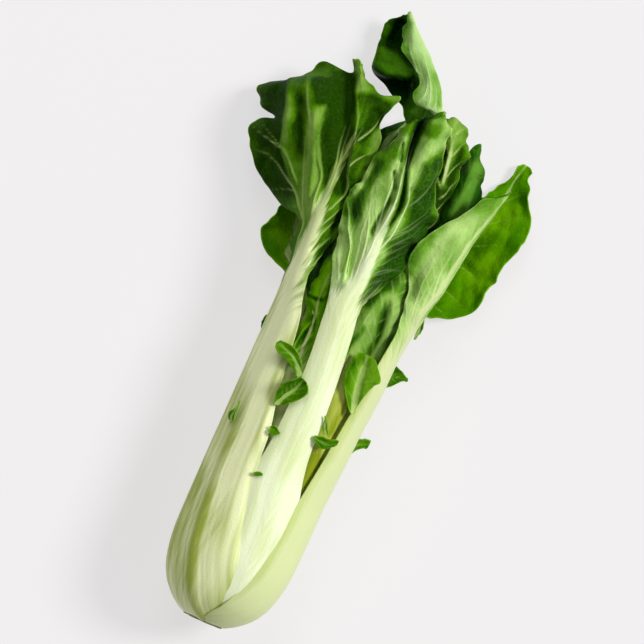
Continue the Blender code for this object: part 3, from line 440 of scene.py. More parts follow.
def gap_right_ribs():
    return [
        wrap(-141, (57, 8), (40, 8), (23, 8)),
        wrap(-120, (57, 7.6), (40, 7.6), (23, 7.6)),
        wrap(-80, (57, 6.6), (48, 4.6), (40, 4.4), (28, 5), (16, 5.4)),
        wrap(-60, (56, 6.2), (48, 3.8), (38, 3.8), (22, 4.4), (8, 4)),
        wrap(-20, (66, 6.0), (50, 3.2), (34, 3.2), (16, 2.4), (0, 1.8)),
        wrap(0, (70, 6.0), (38, 4.0), (-2, 1.4)),
        rib((9.5, 10, 49), (17, 10, 51.5), (22.5, 9, 50), (29, 9, 45), (35.5, 8, 36)),
        rib((12, 21, 46), (18, 21, 49), (23, 20, 48), (29, 19, 44), (34, 18, 37)),
        rib((14, 31, 42), (20, 30, 45), (25, 29, 45), (29.5, 28, 41), (33, 26, 36)),
        rib((19, 40, 40), (22.5, 40, 41), (26, 39, 41), (29.5, 38, 39), (32, 36, 36)),
        rib((23.5, 46, 39), (25.3, 47, 39.5), (27, 47.3, 39.5), (28.7, 46.4, 39), (30.5, 44, 38)),
    ]


def small_ribs():
    return [
        rib((27.3, -33, 54), (28.5, -33.5, 53.5), (29.5, -33, 53)),
        rib((22, -26, 56), (27, -26, 54), (29.8, -26, 54)),
        rib((18.3, -18, 57), (25.5, -18, 54.5), (32.5, -18, 55.5)),
        rib((18.7, -11, 57), (24.7, -11, 55.5), (34.5, -14, 55.5)),
        rib((20, -6, 57), (24, -5.5, 56), (28.5, -6.2, 56)),
    ]


LEAFLETS = {
    "leaflet_long": [
        ((-1.2, -28.3, 60), (-0.4, -27.4, 60), (0.3, -26.4, 60)),
        ((-9, -23, 61), (-7, -20.6, 60), (-4.5, -19.2, 61)),
        ((-15.5, -20.5, 60), (-12.5, -18.4, 59), (-9.5, -16, 60.5)),
        ((-17.3, -17.7, 58), (-16.7, -16.6, 58), (-15.6, -15.7, 58.5))],
    "leaflet_cup": [
        ((-6.6, -44.5, 58), (-5.8, -44.2, 58), (-5, -43.8, 58)),
        ((-7, -37, 61), (-3.4, -38.3, 58.5), (0, -40.3, 61)),
        ((-5.3, -32.5, 63), (-0.5, -33.4, 59.5), (5.5, -34, 63)),
        ((-1, -28.4, 63), (1.3, -28, 62), (3.8, -29.6, 63))],
    "leaflet_bead_upper": [
        ((-3.8, -56.5, 60), (-3.4, -55.3, 60), (-3.7, -54, 60)),
        ((-2, -57.6, 61), (-1.6, -55, 60), (-2.2, -52.6, 61)),
        ((0, -57.2, 61), (0.3, -55.2, 60.4), (-0.4, -53.4, 61)),
        ((1.3, -56, 61), (1.6, -55.5, 61), (1.3, -54.9, 61))],
    "leaflet_bead_lower": [
        ((-2, -77.8, 61), (-1.8, -77, 61), (-1.9, -76.2, 61)),
        ((-0.6, -78, 61.5), (-0.2, -76.6, 61), (-0.6, -75.4, 61.5)),
        ((1, -77.6, 61.5), (1.2, -76.2, 61), (0.8, -75.2, 61.5)),
        ((2.1, -76.8, 61.5), (2.3, -76.2, 61.5), (2, -75.7, 61.5))],
    "leaflet_flank_left": [
        ((-21.7, -49.3, 50), (-21.1, -49, 50), (-20.6, -49.4, 50.5)),
        ((-22.4, -53.5, 49.5), (-21.3, -53.7, 50), (-20.6, -54, 51)),
        ((-23.8, -56.4, 48), (-22, -57, 49.5), (-20.3, -57, 51)),
        ((-21.7, -60, 49), (-21, -60.3, 49.5), (-20.3, -60, 50.5))],
    "leaflet_sprout": [
        ((16.4, -51, 60), (16.6, -50.2, 60), (17, -49.4, 60)),
        ((20, -53.7, 60.5), (20.6, -51.2, 59), (21, -48.6, 60)),
        ((24.2, -53.4, 58.5), (24.6, -50.8, 58), (24.6, -48, 59)),
        ((27.9, -49.7, 58), (28.2, -48.3, 58), (27.8, -46.9, 58.5))],
    "leaflet_spike": [
        ((22.6, -47.2, 59), (21.2, -46.9, 59), (20, -47.6, 59)),
        ((21.6, -44.8, 59.5), (20.2, -44.5, 59), (18.8, -44.8, 59.5)),
        ((19.5, -41.5, 60), (18.8, -41.4, 60), (18, -41.6, 60)),
        ((17.9, -39.4, 60.5), (17.5, -39.2, 60.5), (17.1, -39.5, 60.5))],
    "leaflet_right_middle": [
        ((36.6, -17.2, 20), (36.8, -10.5, 18.5), (37.2, -3.8, 20)),
        ((41.6, -13.5, 19), (41.3, -9.8, 17.5), (41.5, -5.6, 19)),
        ((44.3, -10.5, 18), (44.3, -8.8, 17.3), (44.2, -7, 18)),
        ((46.2, -9.2, 17), (46.7, -8.5, 17), (46, -7.8, 17.2))],
    "leaflet_right_low": [
        ((35.2, -53.2, 22), (35.6, -47.5, 21), (36, -43.2, 21.5)),
        ((37.4, -49.6, 21), (38, -45.8, 20), (38.2, -42.4, 21)),
        ((40.2, -46.8, 20), (40.6, -44.3, 19.5), (40.4, -41.8, 20.2)),
        ((41.6, -46, 19), (42.2, -43.8, 19), (42, -41.5, 19.4))],
    "leaflet_right_high": [
        ((42, 18.8, 24), (41.6, 20.3, 24), (41.2, 19.2, 24)),
        ((43, 16.6, 23.4), (42, 17, 23), (41.4, 16.6, 23.4)),
        ((42.7, 13.7, 22.6), (41.9, 13.6, 22.2), (41.3, 13.6, 22.6)),
        ((41.6, 10.4, 22), (41.3, 10, 22), (41, 10.6, 22))],
    "leaflet_left_side": [
        ((-24.8, -6.2, 22), (-24.4, -11.8, 21), (-24.2, -17.2, 22)),
        ((-26.2, -6.8, 21.4), (-25.8, -11.8, 20.4), (-25.2, -16.2, 21.2)),
        ((-27.4, -8.2, 20.6), (-27, -11.8, 19.8), (-26.2, -15, 20.4)),
        ((-27.6, -10, 20), (-27.5, -11.6, 19.6), (-27, -13.4, 20))],
}
SIDE_LEAFLETS = ("leaflet_right_middle", "leaflet_right_low", "leaflet_right_high",
                 "leaflet_left_side")


# --- From ribs to a surface -------------------------------------------------------------
FINE_STEPS = 600
STALK_PACE = 0.4


def leaf_grid(leaf):
    """Places over the leaf's back, in rows from its foot and columns from edge to edge."""
    rows, columns = leaf.grid
    ribs = np.array(leaf.ribs)
    length = np.linalg.norm(np.diff(ribs, axis=0), axis=2).mean(axis=1)
    knots = np.concatenate([[0], np.cumsum(length)])
    fine = np.linspace(0, knots[-1], FINE_STEPS)
    # The blade has more to show than the stalk, so its rows are closer together.
    in_blade = smooth(-25, 15, np.interp(fine, knots, ribs[:, FINE // 2, 1]))
    pace = STALK_PACE + (1 - STALK_PACE) * in_blade
    passed = np.concatenate([[0], np.cumsum((pace[1:] + pace[:-1]) / 2 * np.diff(fine))])
    along = np.interp(np.linspace(0, passed[-1], rows), passed, fine)
    lines = spline(knots, ribs, along)
    # The columns are a little closer together in the middle, where the midrib is.
    x = np.linspace(-1, 1, columns)
    u = 0.8 * x + 0.2 * x**3
    return spline(SPREAD, lines.transpose(1, 0, 2), u).transpose(1, 0, 2), u


def facing(places):
    """The direction that the leaf's back faces at each place."""
    across_row = np.gradient(places, axis=1)
    up_column = np.gradient(places, axis=0)
    found = np.cross(across_row, up_column)
    size = np.linalg.norm(found, axis=2, keepdims=True)
    return found / np.maximum(size, 1e-9)


def measure(places):
    """How far each place is along the leaf, and to the right of its middle, in millimetres."""
    middle = places.shape[1] // 2
    steps = np.linalg.norm(np.diff(places[:, middle], axis=0), axis=1)
    s = np.concatenate([[0], np.cumsum(steps)])[:, None] + np.zeros(places.shape[:2])
    steps = np.linalg.norm(np.diff(places, axis=1), axis=2)
    d = np.concatenate([np.zeros((len(places), 1)), np.cumsum(steps, axis=1)], axis=1)
    return s, d - d[:, middle:middle + 1]


def traced(path, closed=False):
    """Points on a smooth line through a list of places, given in (x, y) or (x, y, z)."""
    path = np.asarray(path, float)
    if closed:
        path = np.concatenate([path, path[:1]])
    steps = np.linalg.norm(np.diff(path, axis=0), axis=1)
    knots = np.concatenate([[0], np.cumsum(steps)])
    return spline(knots, path, np.linspace(0, knots[-1], 3 * len(path) + 4))


def beside(line, places):
    """Each place's distance to a line, the side that it is on, and how far along it is."""
    near = np.full(places.shape[:-1], np.inf)
    side = np.zeros_like(near)
    share = np.zeros_like(near)
    for k, (a, b) in enumerate(zip(line, line[1:])):
        way = b - a
        t = np.clip((places - a) @ way / (way @ way), 0, 1)
        off = places - a - t[..., None] * way
        gap = np.linalg.norm(off, axis=-1)
        closer = gap < near
        near = np.where(closer, gap, near)
        share = np.where(closer, (k + t) / (len(line) - 1), share)
        turn = np.sign(way[0] * off[..., 1] - way[1] * off[..., 0])
        side = np.where(closer, turn, side)
    return near, side, share


def within(outline, places):
    """Whether each place lies inside a closed outline."""
    x, y = places[..., 0], places[..., 1]
    odd = np.zeros(x.shape, bool)
    for (ax, ay), (bx, by) in zip(outline, outline[1:]):
        if ay != by:
            crosses = (ay > y) != (by > y)
            odd ^= crosses & (x < (bx - ax) * (y - ay) / (by - ay) + ax)
    return odd


def reach_of(kind, width, path, places):
    """How strongly a fold or a tint acts at each place, 0 to 1: along a line on both sides,
    on its left side only, along it with no fading at its far end, or within an outline.
    The tints paint shade and highlights, besides the leaf's own paler and darker patches."""
    line = traced(np.array(path, float) + (DRAWN_X, 0), closed=kind == "area")
    gap, side, share = beside(line, places[..., :2])
    if kind == "area":
        return smooth(-width, width, np.where(within(line, places), gap, -gap))
    near = np.exp(-(gap / width) ** 2)
    if kind == "open":
        return smooth(0, 0.3, share) * near
    near = near * smooth(0, 0.2, share) * (1 - smooth(0.8, 1.0, share))
    return near * smooth(-0.7, 0.9, gap * side) if kind == "left" else near


def lumps(places, size, seed):
    """Smooth noise, about -0.5 to 0.5, whose lumps are the size given along each axis."""
    scaled = (places / size).reshape(-1, places.shape[-1])
    shift = seed * 17.31
    if scaled.shape[1] == 2:
        values = [noise.noise((a + shift, b - shift, shift)) for a, b in scaled]
    else:
        values = [noise.noise((a + shift, b - shift, c)) for a, b, c in scaled]
    return np.array(values).reshape(places.shape[:-1])


def side_veins(rule, places, u, s):
    """Paths of side veins that leave the midrib on either side and bend towards the tip."""
    middle = len(u) // 2
    y = places[:, middle, 1]
    first = np.argmax(y > rule.first)
    found = []
    for side, shift in ((-1, 0), (1, 0.5)):
        edge = places[:, 0 if side < 0 else -1]
        reach = np.linalg.norm(edge - places[:, middle], axis=1)
        start = s[first, 0] + shift * rule.gap
        while start < s[-1, 0] - 4:
            row = int(np.interp(start, s[:, 0], range(len(s))))
            if y[row] > rule.last:
                break
            # Shares of the way from the midrib to the margin.
            out = np.array([0.02, 0.22, 0.45, 0.68, 0.88])
            ahead = start + reach[row] * rule.lean * out ** 1.15
            rows = np.interp(ahead, s[:, 0], range(len(s))).astype(int)
            columns = np.interp(side * out, u, range(len(u))).astype(int)
            points = places[rows, columns]
            if np.linalg.norm(points[-1] - points[0]) > 4:
                found.append(points)
            # The gaps differ by up to 15 % either way.
            start += rule.gap * (0.85 + 0.3 * ((row * 7) % 5) / 4)
    return found


def vein_marks(leaf, places, u, s):
    """Height of the side veins, 0 to 1, and how near each place is to one."""
    height = np.zeros(places.shape[:2])
    near = np.full(places.shape[:2], 99.0)
    paths = []
    for entry in leaf.veins:
        if isinstance(entry, Rule):
            paths += [(entry.strength, path) for path in side_veins(entry, places, u, s)]
        else:
            strength, path = entry if isinstance(entry, Faint) else (1.0, entry)
            paths.append((strength, np.array(path, float) + (DRAWN_X, 0)))
    for strength, path in paths:
        gap, _, share = beside(traced(path), places[..., :path.shape[1]])
        width = VEIN_WIDTH - VEIN_TAPER * share
        fade = strength * (1 - 0.8 * smooth(0.3, 1.0, share)) * smooth(-0.05, 0.12, share)
        height = np.maximum(height, fade * np.exp(-(gap / width) ** 2))
        near = np.minimum(near, gap)
    return height, near


def crease_field(leaf, places, blade):
    """How far the creases lower each place, in millimetres."""
    fall = np.zeros(places.shape[:2])
    for kind, drop, width, path in leaf.creases:
        fall += drop * reach_of(kind, width, path, places)
    return fall * blade


def margin_waves(leaf, s, d, u, open_part):
    """How far the large and small ruffles lift each place, and the margin wanders aside."""
    size = leaf.ruffle.size * bpy.context.scene.bok_choy_leaves.ruffle
    rim = np.abs(u)[None, :]
    side = np.sign(u)[None, :]
    drift = lumps(np.stack([s, d * 0], axis=-1), WAVE_DRIFT, leaf.look.seed + 5)
    beat = 2 * math.pi * s / leaf.ruffle.wave + leaf.ruffle.phase + 1.4 * side + 4 * drift
    large = size * open_part * smooth(0.4, 1.0, rim) * np.sin(beat)
    small = 0.3 * size * open_part * smooth(0.75, 1.0, rim) * np.sin(2.3 * beat + 1)
    wander = (0.45 * np.sin(beat * 0.8 + 2) + 0.12 * np.sin(beat * 2.9)) * size
    return large, small, wander * open_part * smooth(0.7, 1.0, rim) * side


def shape_leaf(leaf, places, u):
    """Adds midrib, veins, quilting, flutes, creases and ruffles, and returns the marks too."""
    look = leaf.look
    settings = bpy.context.scene.bok_choy_leaves
    s, d = measure(places)
    y = places[..., 1]
    from_left, from_right = d - d[:, :1], d[:, -1:] - d
    row_width = d[:, -1:] - d[:, :1]
    half = np.minimum(np.interp(y, *zip(*leaf.midrib)), 0.3 * row_width)
    strip = np.stack([d, s * STALK_STRETCH], axis=-1)
    flutes = lumps(strip, FLUTE_WIDTH, look.seed)
    fibres = lumps(strip, FIBRE_WIDTH, look.seed + 1)
    broad = lumps(strip, BROAD_WIDTH, look.seed + 2)
    # 0 in the stalk and 1 where the leaf has opened out into its blade.
    open_part = smooth(look.blade_from - 12, look.blade_from + 12, y)

    # Pale tissue runs out of the midrib into the blade in streaks.
    slant = np.stack([np.abs(d) - STREAK_SLANT * s, s * STREAK_STRETCH], axis=-1)
    streaks = lumps(slant, STREAK_WIDTH, look.seed + 7) + 0.6 * fibres
    feather = 0.45 * half + 0.6
    blade = smooth(-0.4, 1, (np.abs(d) - half) / feather + 0.7 * streaks)
    # Where the midrib has run out, green tissue closes over it.
    blade = np.maximum(blade, 1 - smooth(0.05, 0.5, half))
    green = blade * smooth(look.blade_from - 22, look.blade_from + 4, y + 9 * streaks)
    # A midrib turns greener as it thins towards the tip.
    greener = 0.16 + 0.44 * smooth(look.blade_from + 4, look.blade_from + 42, y)
    green = np.maximum(green, greener * open_part)
    vein, near = vein_marks(leaf, places, u, s)
    vein = vein * open_part

    out = (1 - 0.8 * open_part) * look.flutes * (0.45 * flutes + 0.1 * fibres + 2.4 * broad)
    ridge = np.exp(-(d / (half * 0.9 + 0.3)) ** 2)
    out = out + open_part * ridge * look.ridge * smooth(0, 3, half)
    out = out + settings.veins * look.vein_height * vein
    # A stalk's edge bends in to lie against the stalk under it.
    left, right = (depth * np.exp(-(gap / TUCK_WIDTH) ** 2)
                   for depth, gap in zip(leaf.tuck, (from_left, from_right)))
    out = out - (left + right) * smooth(-150, -132, y) * (1 - smooth(-10, 10, y))
    out = out - look.quilt * green * (1 - np.exp(-(near / QUILT_WIDTH) ** 2)) * open_part
    out = out + green * look.crumple * lumps(places, CRUMPLE_WIDTH, look.seed + 3)
    out = out + green * 0.35 * look.crumple * lumps(places, FINE_CRUMPLE_WIDTH, look.seed + 4)
    large, small, wander = margin_waves(leaf, s, d, u, open_part)
    out = out + large
    out = out + small
    # A leaf's margin is never quite even.
    aside = np.gradient(places, axis=1)
    aside = aside / np.maximum(np.linalg.norm(aside, axis=2, keepdims=True), 1e-9)
    fall = crease_field(leaf, places, smooth(look.blade_from - 30, look.blade_from - 10, y))
    places = places + facing(places) * out[..., None] + aside * wander[..., None]
    places = places - np.stack([0 * fall, 0 * fall, fall], axis=-1)

    # The tone mark: random tone, darker towards the margins, with painted shade and painted
    # highlights added below.
    tone = 0.5 + 0.36 * lumps(places, TONE_WIDTH, look.seed + 6) + 0.2 * (np.abs(u) - 0.5)
    tone = tone + (1 - open_part) * (0.55 * broad + 0.3 * flutes)
    tone = tone + (0.2 * streaks - 0.25) * np.exp(-np.maximum(np.abs(d) - half, 0) / 5)
    # Painted shade: the hollows are painted darker and greener, the deeper the crease the more.
    tone = tone + 0.07 * np.abs(fall)
    # The tints, mostly painted shade and painted highlights with some of the leaf's own paler
    # and darker patches, stop at the midrib but colour the whole stalk below it.
    reached = np.maximum(blade, 1 - open_part)
    for kind, amount, width, path in leaf.tints:
        tone = tone + reached * amount * reach_of(kind, width, path, places)
    # The margin is painted paler: a painted highlight where the thin edge catches the light,
    # and partly its own paler colour.
    margin = np.minimum(from_left, from_right)
    tone = tone - 0.5 * open_part * np.exp(-(margin / MARGIN_WIDTH) ** 2)
    return places, {"green": green, "vein": vein, "tone": tone}, s, d


def thickness(leaf, u, y):
    """A stalk is thick in its middle and thin at its edges, and thins out into the blade."""
    settings = bpy.context.scene.bok_choy_leaves
    blade = settings.blade / MM
    foot = leaf.ribs[0][0][1]
    root = FOOT_SHARE + (1 - FOOT_SHARE) * smooth(foot, foot + ROOT_TAPER, y)
    edge = min(settings.stalk_edge / MM, leaf.stalk)
    stalk = edge + (leaf.stalk - edge) * (1 - np.abs(u)[None, :] ** 3)
    thinned = smooth(BLADE_FROM, BLADE_FULL, y)
    return np.maximum(blade, root * stalk * (1 - thinned) + blade * thinned)


# --- Settling ---------------------------------------------------------------------------
HEIGHTS = np.zeros(CELLS)


def cell_of(points):
    """The row and the column of the cell over or under each point."""
    index = np.floor((points[..., :2] - LOW_CORNER) / CELL).astype(int)
    index = np.clip(index, 0, np.array(CELLS) - 1)
    return index[..., 0], index[..., 1]


def spread_and_soften(field):
    """The field's highest value nearby, and then the mean of those, so no need is missed."""
    for fold in (np.max, np.mean):
        for axis in (0, 1):
            margin = [(REACH, REACH) if a == axis else (0, 0) for a in (0, 1)]
            padded = np.pad(field, margin, mode="edge")
            window = np.lib.stride_tricks.sliding_window_view(padded, 2 * REACH + 1, axis=axis)
            field = fold(window, axis=-1)
    return field


def denser(grid):
    """The grid with a place between each two rows and each two columns."""
    for axis in (0, 1):
        low = grid.take(range(grid.shape[axis] - 1), axis)
        high = grid.take(range(1, grid.shape[axis]), axis)
        grid = np.concatenate([grid, (low + high) / 2], axis=axis)
    return grid


def lowest(points):
    """The height of the lowest point in each cell, infinite in a cell with none."""
    low = np.full(CELLS, np.inf)
    np.minimum.at(low, cell_of(points), points[:, 2])
    return low


def settle(places, wall, how):
    """Lifts a leaf clear of the heights, which it then adds itself to: a draped leaf bends,
    a dropped one moves as a whole, and one that stays neither moves nor carries others."""
    outer = denser(places)
    inner = denser(places - facing(places) * wall[..., None])
    both = np.concatenate([outer.reshape(-1, 3), inner.reshape(-1, 3)])
    if how == "drape":
        for _ in range(3):
            low = lowest(both)
            need = np.where(np.isfinite(low), HEIGHTS - low, 0)
            lift = spread_and_soften(np.maximum(need, 0))
            for points in (both, places):
                share = smooth(SETTLE_FROM, SETTLE_FULL, points[..., 1])
                points[..., 2] += lift[cell_of(points)] * share
    if how == "drop":
        low = lowest(both)
        move = np.where(np.isfinite(low), HEIGHTS - low, -np.inf).max()
        both[:, 2] += move
        places[..., 2] += move
    if how != "stay":
        gap = bpy.context.scene.bok_choy_leaves.gap / MM
        np.maximum.at(HEIGHTS, cell_of(both), both[:, 2] + gap)
    return places


# --- Making a piece ---------------------------------------------------------------------
def points_of(obj):
    points = np.empty(len(obj.data.vertices) * 3, np.float32)
    obj.data.vertices.foreach_get("co", points)
    return points.reshape(-1, 3)


def set_points(obj, values):
    """Moves the mesh's points to places given in millimetres."""
    obj.data.vertices.foreach_set("co", np.ascontiguousarray(values * MM, np.float32).ravel())


def lay_flat(obj, aside, along):
    """Gives the mesh a UV map that is the leaf laid flat, in millimetres."""
    corners = np.empty(len(obj.data.loops), np.int32)
    obj.data.loops.foreach_get("vertex_index", corners)
    flat = np.stack([aside, along], axis=1)[corners]
    obj.data.uv_layers.active.data.foreach_set("uv", flat.astype(np.float32).ravel())


def add_mark(obj, name, values):
    """Stores a value for each point, for a material to read."""
    mark = obj.data.attributes.new(name, "FLOAT", "POINT")
    mark.data.foreach_set("value", np.ascontiguousarray(values, np.float32).ravel())


WALL_STEPS = 100


def give_walls(obj, wall):
    """Adds the leaf's other face; the wall is as thick as each place needs."""
    thickest = float(wall.max())
    group = obj.vertex_groups.new(name="wall")
    level = np.round(wall / thickest * WALL_STEPS).astype(int)
    for step in np.unique(level):
        share = float(step) / WALL_STEPS
        group.add(np.flatnonzero(level == step).tolist(), share, "REPLACE")
    solid = obj.modifiers.new("Wall", "SOLIDIFY")
    solid.thickness = thickest * MM
    solid.offset = -1
    solid.vertex_group = group.name
    solid.material_offset = 1
    solid.material_offset_rim = 1
    bpy.ops.object.modifier_apply(modifier=solid.name)
    obj.vertex_groups.clear()
    if len(obj.data.vertices) < 2 * len(wall):
        raise RuntimeError(f"{obj.name} didn't get its other face")


def build_leaf(name, leaf):
    """One leaf as one closed sheet: a grid laid over its ribs, shaped, settled and thickened."""
    rows, columns = leaf.grid
    bpy.ops.object.select_all(action="DESELECT")
    bpy.ops.mesh.primitive_grid_add(x_subdivisions=columns - 1, y_subdivisions=rows - 1, size=2)
    obj = bpy.context.object
    obj.name = obj.data.name = name + "_blade"
    # The new grid's points run from -1 to 1, which tells the row and the column of each.
    square = points_of(obj)
    column = np.round((square[:, 0] + 1) / 2 * (columns - 1)).astype(int)
    row = np.round((square[:, 1] + 1) / 2 * (rows - 1)).astype(int)
    places, u = leaf_grid(leaf)
    places, marks, s, d = shape_leaf(leaf, places, u)
    places[..., 2] -= SAG * np.maximum(places[..., 1] - SAG_FROM, 0) ** 2
    wall = thickness(leaf, u, places[..., 1])
    places = np.clip(settle(places, wall, leaf.settle), *BOX)
    set_points(obj, places[row, column])
    for mark, values in marks.items():
        add_mark(obj, mark, values[row, column])
    lay_flat(obj, d[row, column], s[row, column])
    for face in leaf.look.faces:
        obj.data.materials.append(leaf_material(face))
    give_walls(obj, wall[row, column])
    bpy.ops.object.shade_smooth()
    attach(obj, BODY)
    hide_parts(name)
    return obj


# --- Colours and materials --------------------------------------------------------------
def colour(code):
    """A colour given as sRGB hex, as the linear values that shaders use."""
    parts = [int(code[i:i + 2], 16) / 255 for i in (1, 3, 5)]
    return [p / 12.92 if p <= 0.04045 else ((p + 0.055) / 1.055) ** 2.4 for p in parts]


def node(tree, kind, inputs=None, **settings):
    """Adds a node with its settings. An input is a value, or another node's output to link."""
    made = tree.nodes.new(kind)
    for name, value in settings.items():
        setattr(made, name, value)
    for name, value in (inputs or {}).items():
        if isinstance(value, bpy.types.NodeSocket):
            tree.links.new(value, made.inputs[name])
        else:
            made.inputs[name].default_value = value
    return made


def maths(tree, operation, *values):
    return node(tree, "ShaderNodeMath", dict(enumerate(values)), operation=operation).outputs[0]


def ramp(tree, value, low=0.0, high=1.0, start=0.0, end=1.0):
    """The value's place between low and high, as a number from start to end."""
    return node(tree, "ShaderNodeMapRange", {
        "Value": value, "From Min": low, "From Max": high, "To Min": start,
        "To Max": end}).outputs[0]


def blend(tree, share, *ends):
    """A mix of two colours, each given in linear values or as a node's output."""
    first, second = (end if isinstance(end, bpy.types.NodeSocket) else (*end, 1)
                     for end in ends)
    return node(tree, "ShaderNodeMix", {"Factor": share, 6: first, 7: second},
                data_type="RGBA").outputs[2]


def lumpy(tree, place, scale, detail, output="Fac"):
    """Flat noise whose lumps are about 1 / scale across."""
    return node(tree, "ShaderNodeTexNoise", {"Vector": place, "Scale": scale, "Detail": detail},
                noise_dimensions="2D").outputs[output]


def mark_of(tree, name):
    return node(tree, "ShaderNodeAttribute", attribute_name=name).outputs["Fac"]


def emboss(tree, shader, height):
    """Lets a height in metres tilt the light on a surface."""
    bump = node(tree, "ShaderNodeBump", {"Height": height, "Strength": 0.8, "Distance": 1.0})
    tree.links.new(bump.outputs[0], shader.inputs["Normal"])


# Colours of the stalk and of its streaks, which also paint shade on the stalk, of the palest and
# the darkest green, which also paints shade into hollows, and of the veins, then the roughness
# of stalk and blade, and how strongly the net of small veins shows.
Finish = namedtuple("Finish", "stalk streak pale dark vein stalk_rough blade_rough net")

# Each finish's main green is a setting with the finish's name.
FINISHES = {
    # The back of an outer leaf: matt, pale under its waxy bloom, with veins that stand out.
    "waxy_leaf_back": Finish("#F2F8C2", "#A3B24C", "#86A84A", "#1A3C00", "#A6C06A",
                             0.4, 0.55, 0.035),
    # The back of the middle leaf, whose stalk is the whitest.
    "white_stalk_leaf_back": Finish("#EAF2CC", "#CFDD98", "#A6CC6C", "#1C4600", "#DDEBB0",
                                    0.38, 0.55, 0.04),
    # A back with a thicker bloom, which turns its green pale and soft.
    "bloomed_leaf_back": Finish("#D2DCA2", "#B4C46C", "#AED078", "#366A06", "#CDE09A",
                                0.4, 0.6, 0.06),
    # The thickest bloom of all, on the leaf that stands out furthest.
    "silvery_leaf_back": Finish("#D8E69C", "#B4C86C", "#AACC80", "#447812", "#BCD894",
                                0.4, 0.62, 0.06),
    # The inside of a leaf: darker, more yellow in its green and glossier than its back.
    "glossy_leaf_front": Finish("#DDE8A0", "#B8CC68", "#6AA404", "#1D4C00", "#86B42C",
                                0.4, 0.4, 0.05),
    # The same face, painted darker as shade, where the leaf is rolled in on itself.
    "deep_leaf_front": Finish("#DDE8A0", "#B8CC68", "#5C9C18", "#082600", "#4A8014",
                              0.4, 0.4, 0.05),
    # Leaves deep in the head: a dark, slightly grey green, darkened partly as painted shade
    # where they lie under the outer leaves.
    "inner_leaf_back": Finish("#D3E098", "#A2BA58", "#5A8C2A", "#0A3000", "#4C7C24",
                              0.45, 0.45, 0.06),
    # The smallest leaves are soft and bright.
    "tender_leaf": Finish("#D3E096", "#A5C450", "#70A41C", "#245800", "#98BE54",
                          0.45, 0.45, 0.05),
    # Hidden between the stalks, a young leaf stays pale and grey-green.
    "shaded_leaf": Finish("#CCD468", "#8A981E", "#8CB054", "#2C5A04", "#A8C878",
                          0.45, 0.5, 0.06),
}


# The net of veins is about this deep, and fibres and specks stand up by as much, in metres.
GRAIN = 0.00012


def leaf_material(name):
    """Cabbage-family leaf tissue: fibres run up the stalk, a net of small veins fills the blade."""
    found = bpy.data.materials.get(name)
    if found:
        return found
    finish = FINISHES[name]
    made = bpy.data.materials.new(name)
    made.use_nodes = True
    tree = made.node_tree
    shader = tree.nodes["Principled BSDF"]
    place = node(tree, "ShaderNodeTexCoord").outputs["UV"]
    green = mark_of(tree, "green")
    vein = mark_of(tree, "vein")
    # The tone mark holds random tone with painted shade and painted highlights.
    tone = mark_of(tree, "tone")

    # Fibres are about 1.5 mm apart and run nearly the whole length of the stalk.
    along = node(tree, "ShaderNodeMapping", {"Vector": place, "Scale": (0.65, 0.01, 1)})
    fibres = lumpy(tree, along.outputs[0], 1.0, 4.0)
    # Painted shade on the stalk takes the streak colour.
    bands = maths(tree, "MULTIPLY_ADD", fibres, 0.45, tone)
    stalk = blend(tree, ramp(tree, bands, 0.4, 1.2), colour(finish.stalk), colour(finish.streak))

    # The blade's green changes in patches of 10 to 20 mm, and in specks about 1 mm across.
    patches = lumpy(tree, place, 0.08, 3.0)
    specks = lumpy(tree, place, 0.9, 4.0)
    # Painted shade in the tone mark darkens the green towards the darkest green, and painted
    # highlights pale it.
    mixed = maths(tree, "MULTIPLY_ADD", patches, 0.7, tone)
    mixed = maths(tree, "MULTIPLY_ADD", specks, 0.25, mixed)
    blade = blend(tree, ramp(tree, mixed, 0.5, 1.0), colour(finish.pale),
                  getattr(bpy.context.scene.bok_choy_leaves, name))
    blade = blend(tree, ramp(tree, mixed, 1.0, 1.5), blade, colour(finish.dark))

    # Small veins close on each other in a net with meshes of about 3 mm.
    bend = lumpy(tree, place, 0.35, 1.0, "Color")
    bent = node(tree, "ShaderNodeVectorMath", {0: bend, "Scale": 3.0}, operation="SCALE")
    bent = node(tree, "ShaderNodeVectorMath", {0: place, 1: bent.outputs[0]}, operation="ADD")
    mesh = node(tree, "ShaderNodeTexVoronoi", {"Vector": bent.outputs[0], "Scale": 0.34},
                voronoi_dimensions="2D", feature="DISTANCE_TO_EDGE").outputs["Distance"]
    net = maths(tree, "MULTIPLY", ramp(tree, mesh, 0.0, 0.11, 1.0, 0.0), green)
    fine = maths(tree, "MULTIPLY", net, finish.net)
    coarse = maths(tree, "MULTIPLY", vein, 0.8)
    lines = maths(tree, "MAXIMUM", fine, coarse)

    whole = blend(tree, lines, blend(tree, green, stalk, blade), colour(finish.vein))
    tree.links.new(whole, shader.inputs["Base Color"])

    # Specks make the surface a little rougher here and smoother there.
    rough = ramp(tree, green, start=finish.stalk_rough, end=finish.blade_rough)
    rough = maths(tree, "MULTIPLY_ADD", specks, 0.16, rough)
    rough = maths(tree, "SUBTRACT", rough, 0.08)
    tree.links.new(rough, shader.inputs["Roughness"])
    shader.inputs["Subsurface Weight"].default_value = 0.1
    shader.inputs["Subsurface Radius"].default_value = (0.0012, 0.0016, 0.0005)
    shader.inputs["Subsurface Scale"].default_value = 1.0
    shader.inputs["IOR"].default_value = 1.42
    tree.links.new(ramp(tree, green, start=0.25, end=0.05), shader.inputs["Specular IOR Level"])
    shader.inputs["Specular Tint"].default_value = (*colour("#B8F048"), 1)

    grain = maths(tree, "MULTIPLY", net, GRAIN)
    grain = maths(tree, "MULTIPLY_ADD", fibres, GRAIN, grain)
    emboss(tree, shader, maths(tree, "MULTIPLY_ADD", specks, GRAIN, grain))
    return made


# --- The leaves -------------------------------------------------------------------------
OUTER_FACES = ("waxy_leaf_back", "glossy_leaf_front")
INNER_FACES = ("inner_leaf_back", "glossy_leaf_front")
YOUNG_FACES = ("tender_leaf", "tender_leaf")


